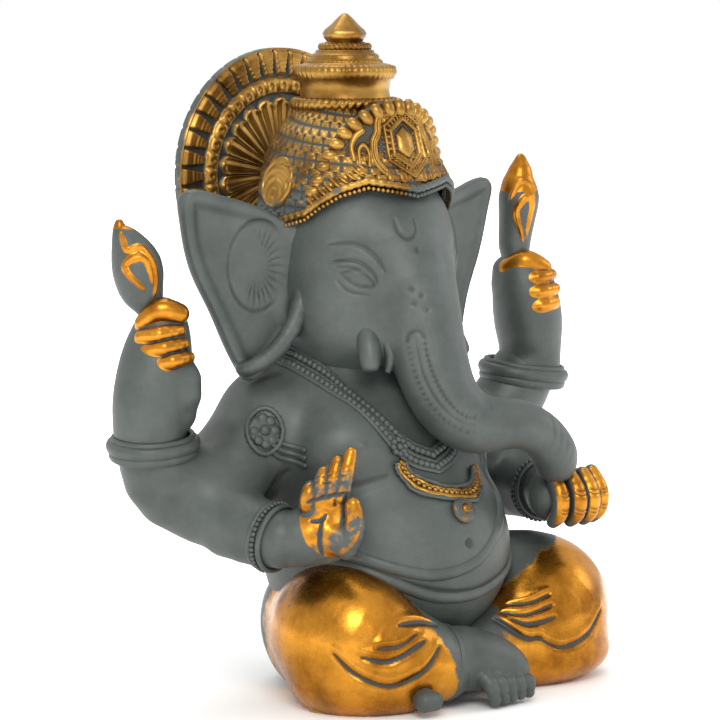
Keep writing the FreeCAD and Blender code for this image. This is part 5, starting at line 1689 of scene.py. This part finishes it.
class FIGURE_OT_legs(bpy.types.Operator):
    """Crossed legs under gilded cloth, the foot in front, its anklet and the other foot's toes"""
    bl_idname = "figure.legs"
    bl_label = "Legs and foot"

    def execute(self, context):
        step = sizes().limb_step

        def right_gilt(points, way):
            hip = 0.62 + 0.38 * smooth_step(-8, 2, points[:, 0] * 0.3 - points[:, 1] - 24)
            outside = smooth_step(-10, -17, points[:, 0] + 0.25 * (points[:, 2] - 20))
            return outside * hip * smooth_step(12, -6, points[:, 1])

        def left_gilt(points, way):
            edge = (points @ ACROSS - 60.8) * 0.56 - (points[:, 2] - 38.5) * 0.83 + 1.5 * grain(points, 5.0)
            return smooth_step(18, 30, points[:, 0] + 0.3 * (30 - points[:, 2])) * smooth_step(-3, 3, edge)

        rows = (("right_knee", right_leg_field, (-62, -72, -4), (14, 30, 52), RIGHT_FOLDS, right_gilt,
                 "right_leg"),
                ("left_knee", left_leg_field, (-4, -70, -4), (84, 32, 52), LEFT_FOLDS, left_gilt,
                 "left_leg"))
        for name, field, low, high, lines, gilt, node in rows:
            leg = sculpt(name, field, low, high, step, folds(field, lines), gilt)
            slice_off(leg, (0, 0, 0), (0, 0, -1))
            finish(leg, cloth_gold(), "gilded_brass", node)
        foot = sculpt("right_foot_and_toes", foot_field, (-22, -80, -4), (34, -44, 28), sizes().hand_step,
                      foot_relief)
        slice_off(foot, (0, 0, 0.2), (0, 0, -1))
        finish(foot, patina(), "patinated_brass", "right_foot")

        def both(points):
            return melt(right_leg_field(points), foot_field(points), 2)
        ring = make_wrist_ring("right_ankle_ring", both, (-7, -58.5, 14), (1, -0.15, -0.1), 24, None,
                               [(-0.5, -1.5, 0.8), (-0.4, 0.1, 0.9)])
        slice_off(ring, (0, 0, 0.2), (0, 0, -1))
        finish(ring, patina(), "patinated_brass", "right_anklet")
        low, high = corner("left_toes", 0), corner("left_toes", 1)
        half = (high - low) / 2
        middle = (low + high) / 2 + np.array([-13.5, 5.5, 1.2])
        low, high = middle - half, middle + half

        def toes_field(points):
            field = egg(points, (middle[0], middle[1] + 1, middle[2]), (half[0], half[1], half[2] * 0.95))
            for number in range(4):
                x = middle[0] - half[0] * 0.6 + number * half[0] * 0.4
                field = melt(field, egg(points, (x, low[1] + 3, middle[2] - 0.4), (2.1, 3.2, half[2] * 0.8)),
                             0.6)
            return field
        toes = sculpt("left_toe_tips", toes_field, low - 3, high + 3, sizes().hand_step, None)
        slice_off(toes, (0, 0, 0.2), (0, 0, -1))
        finish(toes, patina(), "patinated_brass", "left_toes")
        return {"FINISHED"}


class FIGURE_OT_hardware(bpy.types.Operator):
    """Finishes of the base plate, felt, pins, screws and tie rod, whose shapes stay as designed"""
    bl_idname = "figure.hardware"
    bl_label = "Base and hardware"

    def execute(self, context):
        brass = turned_metal("turned_plain_brass", linear("#c8a057"), 0.34, 0.5)
        steel = turned_metal("drawn_zinc_plated_steel", linear("#b9bcbf"), 0.3, 0.3)
        felt = wool_felt("pressed_wool_felt")
        finishes = {"base_plate": patina(), "core_plugs": brass, "felt_pad": felt}
        for node in ("arm_dowels", "leg_dowels", "wrist_pins", "plate_screws", "tie_nut", "tie_rod",
                     "halo_stud"):
            finishes[node] = steel
        for node, material in finishes.items():
            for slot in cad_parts[node].material_slots:
                slot.material = material
        return {"FINISHED"}


class FIGURE_OT_stage(bpy.types.Operator):
    """Pale floor, soft studio lights and the camera"""
    bl_idname = "figure.stage"
    bl_label = "Stage"

    def execute(self, context):
        radius = sizes().floor_radius / MM
        turn, share = np.meshgrid(np.linspace(0, 2 * math.pi, 96, endpoint=False),
                                  np.array([0, 0.02, 0.1, 0.4, 1.0]), indexing="ij")
        disc = np.stack([radius * share * np.sin(turn), radius * share * np.cos(turn),
                         np.zeros_like(turn) - 0.02], -1)
        floor = tidy(put("pale_floor", *surface(disc, wrap_u=True)))
        for polygon in floor.data.polygons:
            if polygon.normal.z < 0:
                polygon.flip()
        floor.data.materials.append(painted_floor("pale_paper_painted_glow"))
        world = bpy.data.worlds.new("soft_white_room")
        context.scene.world = world
        world.use_nodes = True
        world.node_tree.nodes["Background"].inputs["Color"].default_value = (1, 1, 1, 1)
        world.node_tree.nodes["Background"].inputs["Strength"].default_value = 1.0
        lights = (("key_softbox", (-0.75, -0.95, 0.95), 0.6, 11, (1, 0.985, 0.96)),
                  ("side_softbox", (0.95, -0.5, 0.55), 0.45, 2, (0.96, 0.98, 1)),
                  ("top_softbox", (0.1, 0.35, 1.2), 0.6, 4, (1, 1, 1)))
        for name, place, size, power, tint in lights:
            light = bpy.data.lights.new(name, "AREA")
            light.shape, light.size, light.energy, light.color = "SQUARE", size, power, tint
            holder = bpy.data.objects.new(name, light)
            holder.location = place
            towards = Vector((0, 0, 0.11)) - Vector(place)
            holder.rotation_euler = towards.to_track_quat("-Z", "Y").to_euler()
            context.scene.collection.objects.link(holder)
        self.camera(context)
        return {"FINISHED"}

    def camera(self, context):
        azimuth, elevation = math.radians(-40), math.radians(6)
        back = Vector((math.sin(azimuth) * math.cos(elevation), -math.cos(azimuth) * math.cos(elevation),
                       math.sin(elevation)))
        camera = bpy.data.cameras.new("portrait_camera")
        camera.lens, camera.sensor_width = 165, 36
        camera.clip_end = 20
        holder = bpy.data.objects.new("portrait_camera", camera)
        target = Vector((4, -3, 107)) * MM
        holder.location = target + back * sizes().camera_distance
        holder.rotation_euler = back.to_track_quat("Z", "Y").to_euler()
        context.scene.collection.objects.link(holder)
        context.scene.camera = holder
        context.scene.view_settings.view_transform = "Standard"


class FIGURE_PT_panel(bpy.types.Panel):
    """Lists the figure's operators, sizes and colours"""
    bl_label = "Seated figure"
    bl_space_type = "VIEW_3D"
    bl_region_type = "UI"
    bl_category = "Figure"

    def draw(self, context):
        for operator in OPERATORS:
            self.layout.operator(operator.bl_idname)
        for group in (context.scene.figure_sizes, context.scene.figure_colours):
            for name in group.__annotations__:
                self.layout.prop(group, name)


OPERATORS = (FIGURE_OT_body, FIGURE_OT_head, FIGURE_OT_crown, FIGURE_OT_halo, FIGURE_OT_rear_hands,
             FIGURE_OT_front_hands, FIGURE_OT_rings, FIGURE_OT_strands, FIGURE_OT_legs,
             FIGURE_OT_hardware, FIGURE_OT_stage)
CLASSES = (FigureSizes, FigureColours, *OPERATORS, FIGURE_PT_panel)


def register():
    for item in CLASSES:
        bpy.utils.register_class(item)
    bpy.types.Scene.figure_sizes = PointerProperty(type=FigureSizes)
    bpy.types.Scene.figure_colours = PointerProperty(type=FigureColours)


def unregister():
    del bpy.types.Scene.figure_sizes
    del bpy.types.Scene.figure_colours
    for item in reversed(CLASSES):
        bpy.utils.unregister_class(item)


def main():
    register()
    bpy.ops.figure.body()
    bpy.ops.figure.head()
    bpy.ops.figure.crown()
    bpy.ops.figure.halo()
    bpy.ops.figure.rear_hands()
    bpy.ops.figure.front_hands()
    bpy.ops.figure.rings()
    bpy.ops.figure.strands()
    bpy.ops.figure.legs()
    bpy.ops.figure.hardware()
    bpy.ops.figure.stage()


if __name__ == "__main__":
    main()
